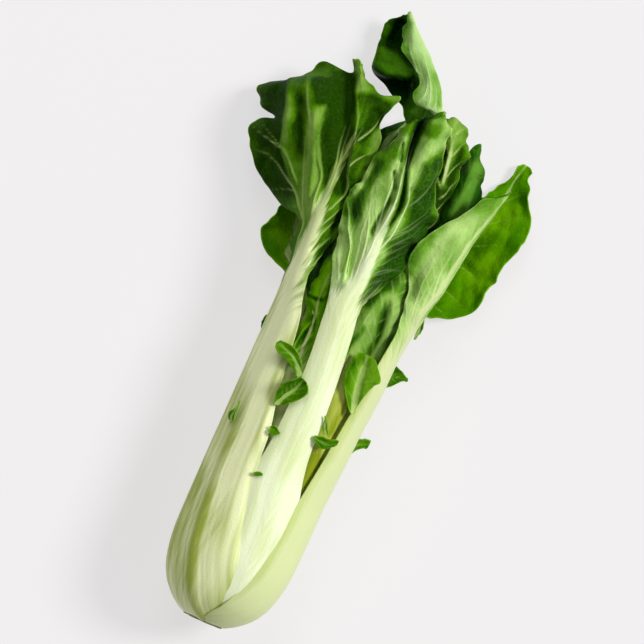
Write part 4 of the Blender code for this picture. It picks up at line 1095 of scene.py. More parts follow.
def left_leaf():
    veins = [
        ((-26, 24), (-28, 36), (-30, 42), (-34, 51), (-39.7, 65), (-43.6, 76), (-45, 88)),
        ((-25, 26), (-26, 43), (-28, 54), (-29.5, 63), (-34, 71), (-38.3, 79), (-40, 88),
         (-41, 94)),
        ((-30, 41), (-37, 50), (-50, 58.7), (-57, 61), (-66, 61)),
        ((-38, 54), (-52, 67), (-58, 70.4), (-65, 74)),
        ((-29, 39), (-38, 50.6), (-43, 50.3), (-48, 48)),
        ((-28, 36), (-33, 45), (-36, 44)),
        ((-52, 67), (-62, 69), (-68, 71)),
        ((-44, 82), (-50, 92), (-55, 104)),
        ((-20, 18), (-17.5, 21), (-15, 27), (-11.5, 35)),
        ((-20.5, 20), (-19.3, 25), (-17, 33), (-13, 41)),
        ((-21, 30), (-19, 37), (-16, 44), (-12, 50)),
        ((-21, 38), (-19.5, 43), (-16, 50), (-13, 57)),
        ((-21.5, 47), (-19, 52), (-16.5, 59), (-19.7, 71), (-21.7, 80), (-21, 91)),
        ((-24.8, 66), (-23.3, 79), (-23.6, 88), (-25.3, 97)),
        ((-25, 57), (-25.5, 69.5), (-28, 80.6), (-28.7, 88)),
        ((-24, 58), (-24.4, 70), (-25.8, 80), (-26.8, 90)),
        ((-19.7, 71), (-16, 78), (-12, 82)),
        ((-21, 84), (-17, 92), (-15, 101)),
    ]
    main_fold = ((-31, 43), (-36.2, 49), (-44.3, 57), (-52.3, 66), (-56, 77), (-58.7, 86),
                 (-62, 96), (-60, 105), (-58, 112))
    right_ridge = ((-17.5, 52), (-16.5, 59), (-19.7, 71), (-21.7, 80), (-24.2, 88), (-27.7, 97.5),
                   (-32.8, 107), (-35.7, 118))
    lens_right = ((-39, 100), (-40.8, 93.6), (-38.3, 78.6), (-34.2, 70.8), (-29.5, 63),
                  (-27.8, 54), (-26.5, 45))
    creases = [
        ("left", 7.5, 16.0, main_fold),
        ("left", 5.0, 7.0, right_ridge),
        ("left", 4.5, 5.0, lens_right),
        ("open", 4.0, 6.0, ((-24, 50), (-28, 74), (-32, 92), (-36, 108))),
        ("line", -1.4, 1.6, right_ridge),
        ("line", 3.5, 3.4, ((-40, 62), (-46.6, 75), (-50.5, 82), (-53.3, 90), (-55, 98))),
        ("line", -2.4, 2.0, ((-29, 44), (-31, 50), (-35.3, 64), (-39.5, 75), (-43.7, 86),
                             (-47, 94))),
        ("line", -1.8, 1.4, ((-26.2, 43.5), (-27.8, 54.3), (-29.5, 63.2), (-34.2, 70.8),
                             (-38.3, 78.6), (-40.8, 93.6))),
        ("line", -2.2, 1.6, ((-52, 65), (-58, 69), (-66, 72), (-71, 74))),
        ("line", -2.0, 1.6, ((-37, 50), (-50, 58.5), (-57, 61), (-66, 60))),
        ("line", 1.5, 3.0, ((-14, 62), (-15, 74), (-14, 82))),
        ("line", 2.5, 2.6, ((-19, 26), (-16, 33), (-14, 42), (-13, 52))),
        ("line", 4.0, 4.0, ((-17, 80), (-17, 92), (-18, 104))),
        ("line", -2.0, 2.2, ((-9, 72), (-9.5, 81), (-12.5, 92), (-13, 106))),
    ]
    # Painted shade beside the folds and in the valleys, painted highlights on the ribs and crests,
    # and the leaf's own paler and darker patches.
    tints = [
        ("left", 0.1, 24.0, main_fold),
        ("line", -0.35, 2.2, ((-51, 67), (-54.5, 77), (-57, 86), (-60, 95))),
        ("area", -0.28, 2.0, ((-29, 43), (-34.2, 51.5), (-39.7, 65), (-43.6, 76), (-45, 87),
                              (-42, 92), (-38.3, 78.6), (-34.2, 70.8), (-29.5, 63),
                              (-27.8, 54))),
        ("area", 0.6, 4.0, ((-29, 62), (-34.2, 70.8), (-38.3, 78.6), (-41.5, 93), (-44, 105),
                            (-38, 112), (-33, 106), (-27.7, 97.5), (-24.2, 88), (-21.7, 79.6),
                            (-20, 71), (-21, 58), (-24.5, 57))),
        ("area", 0.35, 2.0, ((-22, 45), (-23, 56), (-21, 66), (-18.5, 68), (-15.5, 59),
                             (-13.5, 48), (-16, 41))),
        ("line", 0.4, 3.4, ((-40, 62), (-46.6, 75), (-50.5, 82), (-53.3, 90), (-55, 98))),
        ("line", 0.3, 5.0, ((-58, 108), (-50, 112), (-40, 111), (-30, 110))),
        ("area", 0.75, 2.0, ((-22.5, 84), (-18.5, 86), (-15.5, 94), (-13, 107), (-18, 107.5),
                             (-26, 107), (-30, 104), (-26, 97))),
        ("area", 0.35, 3.0, ((-19, 58), (-20.5, 72), (-23, 84), (-12, 104), (-6, 90), (-6, 66))),
        ("line", -0.6, 3.0, ((-13, 66), (-12.5, 76), (-13.5, 88), (-14.5, 97))),
        ("line", 0.75, 4.0, ((-50, 106), (-47, 99), (-43, 91))),
        ("line", 0.3, 3.0, ((-38, 92), (-36, 99), (-36, 106))),
        ("line", -0.3, 2.4, ((-53.5, 78), (-52, 87), (-53, 97))),
        ("line", -0.15, 2.6, ((-35.5, 118), (-33, 111), (-30, 104))),
        ("left", 0.2, 4.0, ((-20, 24), (-18, 31), (-14.5, 40), (-12, 50))),
        ("line", 0.4, 3.0, ((-17, 20), (-15, 27), (-12, 34))),
        # Painted shade down the stalk's left flank, and painted highlights along its crest and its
        # right edge.
        ("line", 1.0, 6.0, ((-26, -154), (-28, -140), (-28.5, -100), (-29, -76))),
        ("line", 0.5, 5.0, ((-29, -74), (-29, 0), (-30, 20), (-31, 40))),
        ("line", 0.45, 6.0, ((-9, -144), (-13, -126), (-14.5, -104), (-15.5, -84), (-18, -60),
                             (-21, -30))),
        ("line", -0.45, 4.0, ((-13, -120), (-14, -84), (-18, -40), (-19, -10), (-20, 14))),
        ("line", -0.5, 5.0, ((-17, -40), (-18, -10), (-20, 14), (-22, 34))),
        ("line", 0.4, 1.8, ((-4, -74), (-9, -50), (-11.5, -30), (-12.5, -4))),
        ("line", -0.55, 8.0, ((-5, -40), (-3, -60), (0, -90), (3, -112), (8, -136))),
        ("line", -0.35, 4.0, ((-12, -92), (-11, -64), (-14, -40))),
        ("area", 0.22, 14.0, ((-34, -156), (24, -156), (4, -70), (-34, -60))),
    ]
    return Leaf(left_ribs(), stalk=5.0,
                midrib=((-60, 30), (-20, 16), (0, 9), (12, 6.4), (19, 5.0), (40, 2.9), (57, 1.5),
                        (71, 1.2), (80, 0.9), (88, 0.1), (115, 0)),
                veins=veins, creases=creases, tints=tints, ruffle=Ruffle(1.3, 22, 0.5),
                look=Look(OUTER_FACES, 18, 0.8, 0.5, 0.5, 1.2, 0.4, 1), grid=(265, 175),
                tuck=(0, 1.2))


def middle_leaf():
    veins = [
        Rule(10, 4.1, 1.5, 48, 0.2),
        ((4, 22), (1.3, 46), (-2.9, 57), (-5.4, 65.6), (-5.7, 71)),
        ((5, 34), (4.2, 50), (0.3, 57), (-4, 62), (-5.7, 65)),
        ((5.5, 40), (5.2, 46), (6.5, 55), (6.9, 65), (5.3, 76), (3.6, 86), (1.6, 98)),
        ((5.5, 42), (3.6, 56), (2.6, 68), (1.5, 80), (-1, 96)),
        ((2, 18), (-2.2, 31.6), (-4.5, 39.6), (-8.3, 47), (-10.8, 51.6), (-14, 56.5)),
        ((-1, 20), (-7, 31), (-11, 42)),
        ((1.4, 12), (-2.4, 22), (-7.4, 34), (-9.5, 44)),
        ((2, 16), (-0.8, 28), (-4.6, 40), (-6.6, 52)),
        ((2.6, 22), (0.8, 34), (-1.8, 48), (-3, 62)),
        ((7.5, 38), (11.8, 50), (12.3, 60), (12.3, 67.7), (10.6, 73), (6.1, 81.6), (4, 93)),
        Faint(0.2, ((8.5, 32), (14.3, 43), (20.8, 47))),
        Faint(0.2, ((8.5, 36), (12, 43), (16, 48), (24, 53))),
        Faint(0.25, ((9.5, 26), (14, 33), (22.8, 37))),
        Faint(0.3, ((7.8, 37), (11.5, 49), (20.5, 58), (23, 64))),
        Faint(0.2, ((12.3, 64), (17, 72), (19, 80), (17, 92))),
        Faint(0.2, ((12, 70), (12, 82), (12, 96))),
        Faint(0.2, ((10, 22), (13, 27), (18, 30))),
    ]
    # The blade is folded along a deep slot, which widens towards the tip.
    slot = ((8.2, 50), (9.6, 60), (9.6, 66), (7.4, 75), (4.7, 85), (3.2, 98), (3.4, 108))
    upper_slot = ((5.4, 80), (4, 90), (3.2, 99), (3.4, 112))
    fold = ((-14.7, 58), (-10.8, 51.6), (-8.3, 46.9), (-4.5, 39.6), (-2.2, 31.6), (0.6, 20))
    creases = [
        ("open", 6.0, 1.1, slot),
        ("open", 8.0, 2.4, upper_slot),
        ("left", 4.0, 4.0, fold),
        ("line", -2.0, 1.2, fold),
        ("line", -2.5, 1.6, ((5.2, 44), (6.5, 55), (6.9, 65), (5.3, 76), (3.6, 86), (1.6, 98))),
        ("line", 3.5, 0.9, ((0, 79), (2, 75.5), (3.4, 73), (5.3, 69))),
        ("line", 3.0, 0.9, ((-1.4, 93), (0, 88), (1.7, 82))),
        ("line", 3.0, 1.2, ((2.5, 44), (3.2, 54), (4.5, 66), (4.2, 74))),
        ("line", 2.5, 1.0, ((8, 44), (9, 52), (9.4, 60))),
        ("line", -2.5, 5.0, ((13, 60), (17, 72), (15, 84), (10, 100), (11, 108))),
        ("line", 4.0, 3.0, ((20, 66), (20.5, 76), (17, 90), (17, 100))),
        ("line", 4.0, 4.0, ((14, 36), (20, 44), (24, 52))),
    ]
    # Painted shade in the slot and the folds, with the pale streaks and the paler and darker
    # patches of the leaf's own.
    tints = [
        ("open", 0.7, 1.2, slot),
        ("open", 0.7, 2.0, upper_slot),
        ("line", -0.9, 2.8, ((-4, 18), (-2.6, 30), (-1.6, 42), (-1.4, 54), (-1, 66))),
        ("line", -0.9, 2.2, ((0.5, 18), (1.4, 30), (1.8, 42))),
        ("line", 0.8, 5.0, ((15, 40), (16, 54), (15, 66), (13, 76))),
        ("area", 0.3, 3.0, ((-8, 76), (3, 76), (3, 88), (-8, 88))),
        ("line", 0.8, 2.4, ((14, 10), (13.6, 22), (17, 32))),
        ("line", 0.8, 2.6, ((13, 70), (13.6, 80), (12, 90))),
        ("line", 0.25, 3.0, ((-1, 82), (-1, 95))),
        ("area", 0.5, 2.0, ((4, 100), (12, 100), (12, 112), (4, 112))),
        ("line", -0.4, 2.0, ((-0.6, 72), (0, 86), (-1.5, 98))),
        ("line", -0.7, 1.5, ((-14.2, 56), (-11.5, 63), (-10.6, 70), (-9.8, 80))),
        ("line", -0.9, 3.0, ((-4, 10), (-6, 22), (-8.5, 32), (-11, 42))),
        ("line", 0.7, 2.4, ((-6, 46), (-8, 56), (-8.6, 64), (-7.5, 74), (-6.5, 84))),
        ("line", 0.4, 3.0, ((-12, 48), (-13, 58), (-12, 66))),
        ("line", -0.6, 3.4, ((12, 46), (13, 56), (13.5, 66), (12, 78), (9, 96))),
        ("area", 0.9, 3.0, ((11.5, 26), (15, 40), (21, 52), (22.5, 66), (28, 64), (26, 50),
                            (24, 40), (18, 28))),
        ("line", 0.45, 3.0, ((19, 62), (19.5, 74), (17.5, 84), (18, 96))),
        ("line", -0.4, 5.0, ((14, 90), (12, 102), (11, 112))),
        ("line", 0.35, 1.6, ((2.2, 44), (3, 56), (4.5, 68))),
        ("line", -0.3, 1.6, ((10.6, 74), (6.6, 84), (4.4, 96))),
    ]
    return Leaf(middle_ribs(), stalk=4.0,
                midrib=((-60, 30), (-20, 16), (0, 9), (7, 7.0), (14, 5.0), (23, 3.6), (40, 2.3),
                        (50, 1.4), (58, 0.6), (68, 0.1), (105, 0)),
                veins=veins, creases=creases, tints=tints, ruffle=Ruffle(1.1, 20, 1.5),
                look=Look(("white_stalk_leaf_back", "glossy_leaf_front"), 24, 0.7, 0.5, 0.4,
                          1.1, 0.25, 2), grid=(265, 140))


def right_leaf():
    veins = [
        Rule(2, 4.2, 1.5, 40, 0.4),
        ((38, 8), (35.5, 20), (34, 35), (35, 50)),
        ((38.5, 10), (36.5, 25), (37, 40)),
        ((36, 8), (32, 14), (28, 18)),
        ((36.5, 12), (31, 24), (29, 34)),
        ((39, 14), (38.5, 30), (39, 44)),
        ((41, 30), (40, 44), (42, 58)),
    ]
    creases = [
        ("line", 1.6, 2.5, ((33, 22), (30, 36), (31, 48), (35, 58))),
        ("line", -1.2, 3.0, ((37, 24), (36, 40), (39, 54), (44, 68))),
        ("line", 1.5, 2.0, ((26, 38), (27, 48), (31, 56))),
    ]
    # Painted shade beside the creases and painted highlights on the raised parts, with the leaf's
    # own paler bands.
    tints = [
        ("line", -0.25, 6.5, ((34, 6), (36, 20), (37, 34), (40, 50), (46, 68), (51, 80))),
        ("line", 0.4, 3.0, ((41, 40), (44, 54), (47, 66), (51, 78))),
        ("line", -0.45, 3.4, ((31, 34), (33, 50), (36, 64), (40, 72))),
        ("line", 0.3, 1.6, ((24.5, 40), (25.5, 50), (31, 60))),
        ("line", -0.4, 4.0, ((34, -60), (35.5, -20), (37, 10), (38, 24))),
        # A painted highlight on the stalk's foot, where it curves away from the light.
        ("line", -0.5, 8.0, ((4, -148), (10, -144), (17, -137), (26, -125), (31, -100),
                             (33, -50))),
        ("line", -0.4, 5.0, ((31, 14), (29, 26), (30, 38))),
    ]
    return Leaf(right_ribs(), stalk=5.0,
                midrib=((-60, 30), (-20, 14), (0, 6), (10, 4.0), (20, 2.2), (30, 1.5), (40, 1.0),
                        (60, 0.55), (85, 0.35)),
                veins=veins, creases=creases, tints=tints, ruffle=Ruffle(0.8, 20, 2.5),
                look=Look(("bloomed_leaf_back", "glossy_leaf_front"), 16, 0.6, 0.3, 0.2, 0.5,
                          0.3, 3), grid=(250, 120), tuck=(1.8, 0))


def tall_leaf():
    veins = [
        ((-8, 118), (-10, 126), (-17, 136), (-20, 145)),
        ((-2, 112), (-1, 118), (-4, 127)),
        ((1, 104), (3, 112), (0, 122), (-8, 133), (-16, 143)),
        ((4, 106), (6, 114), (1, 125)),
    ]
    lower_page = ((-33, 116), (-8, 107), (-6, 112), (-6.5, 124), (-14, 128.5), (-18.6, 131.7),
                  (-21.9, 137.5), (-21.4, 141.4), (-23.6, 146), (-23.4, 152), (-34, 150))
    creases = [
        ("left", 8.0, 9.0, ((-6.5, 122.5), (-8.2, 124.1), (-11.7, 121.1), (-17, 119.9),
                            (-21.6, 118.6), (-28.1, 119.3), (-32, 120))),
        ("line", -4.0, 2.2, ((-7, 122), (-11.7, 122), (-17, 121), (-21.6, 119.9),
                             (-30, 120.5))),
        ("line", 6.0, 3.0, ((-24, 133), (-24, 141), (-23.5, 148))),
        ("line", 2.0, 1.8, ((-16, 131), (-19, 138), (-22, 146))),
    ]
    # Painted shade on the lower page and under the roll, and painted highlights along the roll's
    # edge, with the leaf's own paler patches.
    tints = [
        ("area", 0.15, 1.0, lower_page),
        ("area", -0.5, 2.0, ((-31, 121.5), (-33, 125), (-29, 131), (-22, 131), (-15, 129),
                             (-10, 125), (-17, 121.5))),
        ("line", -0.4, 2.0, ((-30, 131), (-30.5, 137), (-29, 145))),
        ("line", 0.5, 2.4, ((-9, 126), (-15, 129.5), (-19, 133), (-22.5, 138))),
        ("line", 0.4, 2.0, ((-30, 120), (-31, 127), (-31.5, 135), (-31, 142))),
        ("line", 0.8, 3.0, ((-24, 130), (-25, 137), (-24.3, 148))),
        ("left", 0.75, 9.0, ((-5, 124.5), (-11.7, 120.6), (-17, 119.4), (-21.6, 118.2),
                            (-29, 118.8))),
        ("line", -0.35, 2.0, ((-8, 125), (-14, 122.5), (-20, 121), (-28, 122))),
        ("line", -0.25, 6.0, ((2, 104), (-3, 120), (-13, 136), (-24, 154))),
        ("line", 0.45, 3.4, ((8, 112), (4.8, 122), (-2, 131))),
        ("area", -0.5, 1.5, ((-4, 108), (3, 106), (9, 108), (11, 113), (0, 111.5))),
    ]
    return Leaf(tall_ribs(), stalk=4.0,
                midrib=((-60, 20), (0, 8), (20, 4), (60, 1.6), (100, 0.7), (130, 0.4),
                        (150, 0.3)),
                veins=veins, creases=creases, tints=tints, ruffle=Ruffle(0.8, 17, 0.2),
                look=Look(("silvery_leaf_back", "deep_leaf_front"), 20, 0.4, 0.3, 0.3, 0.9,
                          0.3, 4), grid=(230, 115))


def inner_left_leaf():
    return Leaf(inner_left_ribs(), stalk=3.5,
                midrib=((-60, 20), (0, 7), (20, 3), (60, 1.5), (105, 0.5)),
                veins=[Rule(30, 9, 0.8)], creases=(),
                # Painted shade where the leaf lies under the middle leaf.
                tints=(("line", 0.5, 14, ((-8, 60), (-4, 104))),),
                ruffle=Ruffle(1.2, 18, 0.9),
                look=Look(INNER_FACES, 14, 0.5, 0.4, 0.4, 1.0, 0.3, 5), grid=(110, 50))


def inner_right_leaf():
    return Leaf(inner_right_ribs(), stalk=3.5,
                midrib=((-60, 20), (0, 7), (20, 3), (50, 0.4), (72, 0.05), (81, 0.1), (86, 0.5),
                        (92, 0.4), (104, 0.05)),
                veins=[Rule(45, 9, 1.0)],
                creases=(("line", 2.5, 1.2, ((22, 81), (19.5, 91), (18.5, 99))),
                         ("line", 3.0, 2.0, ((26, 80), (25, 92), (24, 104)))),
                # Painted shade where the leaf lies deep between the middle and right leaves, and in
                # its two creases.
                tints=(("area", 1.1, 2.5, ((19, 56), (33, 56), (31, 78), (21, 80))),
                       ("line", 0.7, 2.0, ((22, 78), (19.5, 90), (18.4, 102))),
                       ("line", 0.5, 2.5, ((27, 78), (26.5, 92), (25, 106)))),
                ruffle=Ruffle(1.2, 16, 2.1),
                look=Look(("waxy_leaf_back", "glossy_leaf_front"), 16, 0.8, 0.3, 0.4, 1.0, 0.3,
                          6), grid=(170, 60))


def pointed_leaf():
    return Leaf(pointed_ribs(), stalk=3.5,
                midrib=((-60, 20), (0, 7), (20, 3), (44, 0.8), (58, 0.05), (105, 0)),
                veins=[Rule(30, 9, 0.9, 999, 0.4)],
                creases=(("line", -3.0, 4.0, ((31, 62), (35, 76), (35, 92), (34, 104))),
                         ("line", 2.5, 3.0, ((40, 70), (41, 84), (39, 95)))),
                # A painted highlight along the raised ridge, and painted shade down the left side
                # and in the fold on the right.
                tints=(("line", -0.7, 4.0, ((33, 66), (36, 80), (36, 92), (34, 102))),
                       ("line", 0.4, 5.0, ((27, 62), (29, 78), (30, 96))),
                       ("line", 0.4, 3.0, ((43, 66), (43, 78), (41, 92)))),
                ruffle=Ruffle(1.0, 17, 1.1),
                look=Look(INNER_FACES, 14, 0.4, 0.3, 0.4, 1.2, 0.3, 7), grid=(160, 60))


def under_right_leaf():
    veins = [
        ((52, 75), (62, 82), (68, 85)),
        ((50, 62), (58, 66), (63, 68)),
        ((46, 50), (52, 50), (60, 47)),
        ((44, 38), (50, 36), (57, 34)),
        ((54, 86), (60, 93), (63, 95)),
        ((42, 30), (48, 27), (53, 26)),
    ]
    return Leaf(under_right_ribs(), stalk=4.0,
                midrib=((-60, 20), (0, 7), (14, 3.4), (40, 1.4), (80, 0.7), (105, 0.2)),
                veins=veins, creases=(
                    ("line", -2.0, 5.0, ((52, 50), (56, 62), (60, 76))),
                    ("line", 1.8, 4.0, ((50, 40), (57, 42), (64, 40))),),
                tints=(("line", -0.5, 10.0, ((50, 42), (55, 56), (60, 76), (62, 92))),
                       ("line", -0.35, 6.0, ((54, 38), (58, 46), (61, 56), (62, 66))),
                       ("line", 0.3, 4.0, ((44, 30), (46, 50), (50, 70))),
                       ("line", 0.3, 3.0, ((66, 64), (66, 80), (61, 100)))),
                ruffle=Ruffle(1.3, 24, 0.4),
                look=Look(OUTER_FACES, 8, 0.4, 0.35, 0.3, 1.5, 0.3, 8), grid=(220, 110))


def under_left_leaf():
    return Leaf(under_left_ribs(), stalk=4.0,
                midrib=((-60, 20), (0, 7), (14, 3.4), (40, 1.4), (80, 0.5)),
                veins=[Rule(18, 10, 0.5)], creases=(),
                tints=(("line", -0.3, 20, ((-38, 20), (-38, 78))),),
                ruffle=Ruffle(0.9, 22, 1.4),
                look=Look(OUTER_FACES, 6, 0.5, 0.3, 0.3, 1.1, 0.3, 9), grid=(170, 80))


def under_middle_leaf():
    return Leaf(under_middle_ribs(), stalk=5.0,
                midrib=((-60, 30), (-20, 16), (0, 9), (15, 5), (40, 2.5), (60, 1.4), (85, 0.4)),
                veins=[Rule(18, 10, 0.7)], creases=(), tints=(), ruffle=Ruffle(1.2, 20, 0.7),
                look=Look(OUTER_FACES, 12, 0.4, 0.45, 0.4, 0.8, 0.35, 10), grid=(190, 100))


def gap_left_leaf():
    # A pale folded edge, the flap above it, and two thin stalks that show through the gap.
    ribbon = ((-13.5, 8.5), (-8.5, 5), (-4.6, 0.6), (-2.4, -6), (-1.8, -14))
    flap = ((-14.7, 10), (-11.6, 8.8), (-8.1, 9.4), (-4.6, 10.5), (-4.8, 18), (-7, 29), (-10, 27),
            (-14, 18))
    stalks = [((-8.4, -24), (-9.4, -16), (-8.4, -7.1), (-5.4, -0.5)),
              ((-5.4, -26), (-7.6, -18.5), (-4.9, -12), (-3, -5))]
    return Leaf(gap_left_ribs(), stalk=3.5,
                midrib=((-60, 20), (-30, 3), (-18, 0.8), (0, 0.3), (40, 0)),
                veins=[Rule(14, 5, 1.1, 999, 0.3), *stalks],
                creases=[("left", 3.0, 4.0, ribbon[::-1]), ("line", -1.6, 1.6, ribbon),
                         ("area", -2.0, 0.9, flap),
                         *(("line", -2.0, 1.1, path) for path in stalks)],
                # Painted shadow below the ribbon and under the flap's edge, with the pale ribbon,
                # flap and stalks in the leaf's own colours.
                tints=[("line", -0.3, 1.6, ribbon), ("left", 0.5, 5.0, ribbon[::-1]),
                       ("area", -0.55, 1.2, flap),
                       ("line", 0.7, 1.2, ((-14, 9.4), (-9, 8.8), (-5, 9.8))),
                       ("area", -0.5, 1.0, ((-14, 7.6), (-8, 7.6), (-4.5, 2), (-8, 1), (-12, 4))),
                       ("area", -0.5, 1.5, ((-14, -3), (-13, 5), (-10, 4), (-8, -2), (-10, -8))),
                       *(("line", -1.0, 1.0, path) for path in stalks),
                       ("line", 0.4, 2.0, ((-7, -22), (-6.6, -12), (-6, -4)))],
                ruffle=Ruffle(0.7, 12, 0.3),
                look=Look(("glossy_leaf_front", "glossy_leaf_front"), -14, 0.4, 0.3, 0.3, 0.8,
                          0.3, 11), grid=(150, 70))


def gap_right_leaf():
    # Two raised folds, left and right of a deep one, and the foot of the stalk, painted dark as
    # shade deep in the gap.
    fold = ((16, -16), (16.5, -4), (17, 8), (18.4, 17))
    deep = ((24.5, -20), (24.5, -8), (25, 4), (23.5, 14), (22, 24))
    far = ((28, -12), (30, 4), (27.5, 17), (22.5, 28))
    low = ((21, -104), (22, -80), (22.5, -52))
    return Leaf(gap_right_ribs(), stalk=3.5,
                midrib=((-60, 20), (-30, 6), (-16, 2.0), (-6, 0.2), (48, 0)),
                veins=[Rule(-8, 8, 1.2, 999, 0.45)],
                creases=[("left", 3.0, 6.0, fold[::-1]), ("line", -1.6, 2.2, fold),
                         ("line", 4.0, 1.8, deep), ("line", -2.0, 2.0, far)],
                # Painted shade in the deep fold, on the stalk's foot and low in the gap, and
                # painted highlights on the raised folds.
                tints=[("line", 0.9, 1.4, deep), ("line", -0.5, 3.4, fold),
                       ("line", -0.9, 2.8, far), ("line", 1.0, 5.0, low),
                       ("line", 0.4, 6.0, ((21, -50), (22, -38), (22, -26))),
                       ("line", 0.9, 1.4, ((14.5, -14), (15, -4), (17, 4), (16.5, 9))),
                       ("line", 0.7, 1.8, ((30, -14), (31, 0), (30.5, 12))),
                       ("line", 0.6, 2.0, ((13, 13), (17, 22), (22, 32))),
                       ("area", 0.45, 3.0, ((19, 27), (30, 24), (30, 44), (19, 44)))],
                ruffle=Ruffle(0.7, 14, 1.9),
                look=Look(("shaded_leaf", "glossy_leaf_front"), -6, 0.5, 0.4, 0.3, 0.9, 0.3, 12),
                grid=(160, 70), settle="stay")


def small_leaf():
    return Leaf(small_ribs(), stalk=1.2,
                midrib=((-34, 0.5), (-26, 0.9), (-18, 0.8), (-11, 0.5), (-6, 0.1)),
                veins=[Rule(-28, 6, 1.1, 999, 0.5)], creases=(
                    ("line", 2.4, 3.0, ((28.4, -34), (26.5, -26), (25, -18), (24, -6))),),
                tints=(("line", 0.4, 2.5, ((20, -24), (19, -16), (20, -8))),
                       ("line", -0.7, 2.0, ((28.5, -28), (25.5, -18), (24, -7)))),
                ruffle=Ruffle(0.4, 12, 0.6),
                look=Look(YOUNG_FACES, -60, 0.3, 0.2, 0.15, 0.4, 0, 13),
                settle="drop", grid=(70, 60))


def leaflet(points, seed, how):
    """A young leaf that is all blade, through ribs given as rows of (x, y, z) places."""
    ribs = [rib(*line) for line in points]
    low = min(line[FINE // 2][1] for line in ribs)
    high = max(line[FINE // 2][1] for line in ribs)
    size = min(1, (high - low) / 12)
    middles = [line[FINE // 2][:2] - (DRAWN_X, 0) for line in ribs]
    return Leaf(ribs, stalk=0.7, midrib=((low, 0.6 * size), (high + 0.01, 0.1)),
                veins=[Rule(-200, 3.2, 0.9, 999, 0.4)], creases=(),
                tints=(("line", 0.5, 2.0, ribs[-1][::4, :2] - (DRAWN_X, 0)),
                       ("line", 0.3, 12.0, middles)),
                ruffle=Ruffle(0.25, 7, 0.9 * seed),
                look=Look(YOUNG_FACES, -200, 0.1, 0.1, 0.06, 0.4, 0, 20 + seed),
                settle=how, grid=(34, 30))


# --- The heart and the cut root ---------------------------------------------------------
# A turned form has this many segments, and is laid flat as if this were its radius in mm.
SEGMENTS = 96
TURNED_RADIUS = 8


def turned(name, profile, folds, turn_rate):
    """A form turned round the bulb's axis from a profile, with folds that wind up its side."""
    bpy.ops.object.select_all(action="DESELECT")
    rings = 4 * (len(profile) - 1)
    bpy.ops.mesh.primitive_uv_sphere_add(segments=SEGMENTS, ring_count=rings, radius=1)
    obj = bpy.context.object
    obj.name = obj.data.name = name
    ball = points_of(obj)
    share = 1 - np.arccos(np.clip(ball[:, 2], -1, 1)) / math.pi
    y, radius = spline(np.linspace(0, 1, len(profile)), profile, share).T
    angle = np.arctan2(ball[:, 1], ball[:, 0])
    fold = np.sin(folds * angle + turn_rate * y)
    radius = np.maximum(radius, 0) * (1 - 0.09 * smooth(0.2, 1.0, fold) - 0.03 * fold)
    places = np.stack([AXIS_X + radius * np.cos(angle), y, AXIS_Z - radius * np.sin(angle)],
                      axis=1)
    set_points(obj, places)
    lay_flat(obj, angle * TURNED_RADIUS, y)
    bpy.ops.object.mode_set(mode="EDIT")
    bpy.ops.mesh.select_all(action="SELECT")
    bpy.ops.mesh.normals_make_consistent(inside=False)
    bpy.ops.object.mode_set(mode="OBJECT")
    bpy.ops.object.shade_smooth()
    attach(obj, BODY)
    return obj, y, fold


def build_heart():
    """The bud of unopened leaves, each wrapped over the next."""
    low, high = HEART_LOW.y / MM, HEART_HIGH.y / MM
    wide = (HEART_HIGH.x - HEART_LOW.x) / 2 / MM
    profile = [(low, 0), (low + 4, 0.5 * wide), (low + 22, 0.86 * wide), (low + 57, 0.98 * wide),
               (low + 92, 0.82 * wide), (high - 9, 0.4 * wide), (high, 0)]
    obj, y, fold = turned("heart_bud", profile, 3, 0.05)
    add_mark(obj, "green", smooth(-75, -25, y))
    add_mark(obj, "vein", 0.5 * np.exp(-((fold + 0.2) / 0.12) ** 2))
    add_mark(obj, "tone", 0.55 + 0.3 * smooth(0.3, 1.0, fold))
    obj.data.materials.append(leaf_material("tender_leaf"))
    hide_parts("heart")


# The cut begins to look dry, and is quite dry, this far from its middle, in millimetres.
DRIED_FROM = (8.0, 10.6)


def cut_root_material():
    """Cut stem tissue: cream and wet, ringed where vessels end, browned where it has dried."""
    settings = bpy.context.scene.bok_choy_core
    made = bpy.data.materials.new("cut_stem_tissue")
    made.use_nodes = True
    tree = made.node_tree
    shader = tree.nodes["Principled BSDF"]
    place = node(tree, "ShaderNodeTexCoord").outputs["Object"]
    # Distance from the bulb's axis, in millimetres, with a wobble.
    centred = node(tree, "ShaderNodeMapping", {
        "Vector": place, "Location": (-AXIS_X, 0, -AXIS_Z), "Scale": (1000, 0, 1000)})
    wobble = node(tree, "ShaderNodeTexNoise", {
        "Vector": place, "Scale": 220.0, "Detail": 4.0}).outputs["Fac"]
    reach = node(tree, "ShaderNodeVectorMath", {0: centred.outputs[0]},
                 operation="LENGTH").outputs["Value"]
    reach = maths(tree, "MULTIPLY_ADD", wobble, 2.2, reach)
    rings = maths(tree, "MULTIPLY", reach, 2 * math.pi / (settings.ring / MM))
    rings = maths(tree, "SINE", rings)
    tissue = blend(tree, ramp(tree, rings, low=-1.0, end=0.5), settings.flesh,
                   colour("#B4B264"))
    dried = ramp(tree, reach, *DRIED_FROM)
    tissue = blend(tree, dried, tissue, settings.dried)
    tree.links.new(tissue, shader.inputs["Base Color"])
    tree.links.new(ramp(tree, dried, start=0.38, end=0.75), shader.inputs["Roughness"])
    relief = maths(tree, "MULTIPLY", wobble, 0.0004)
    emboss(tree, shader, maths(tree, "MULTIPLY_ADD", rings, 0.00006, relief))
    return made


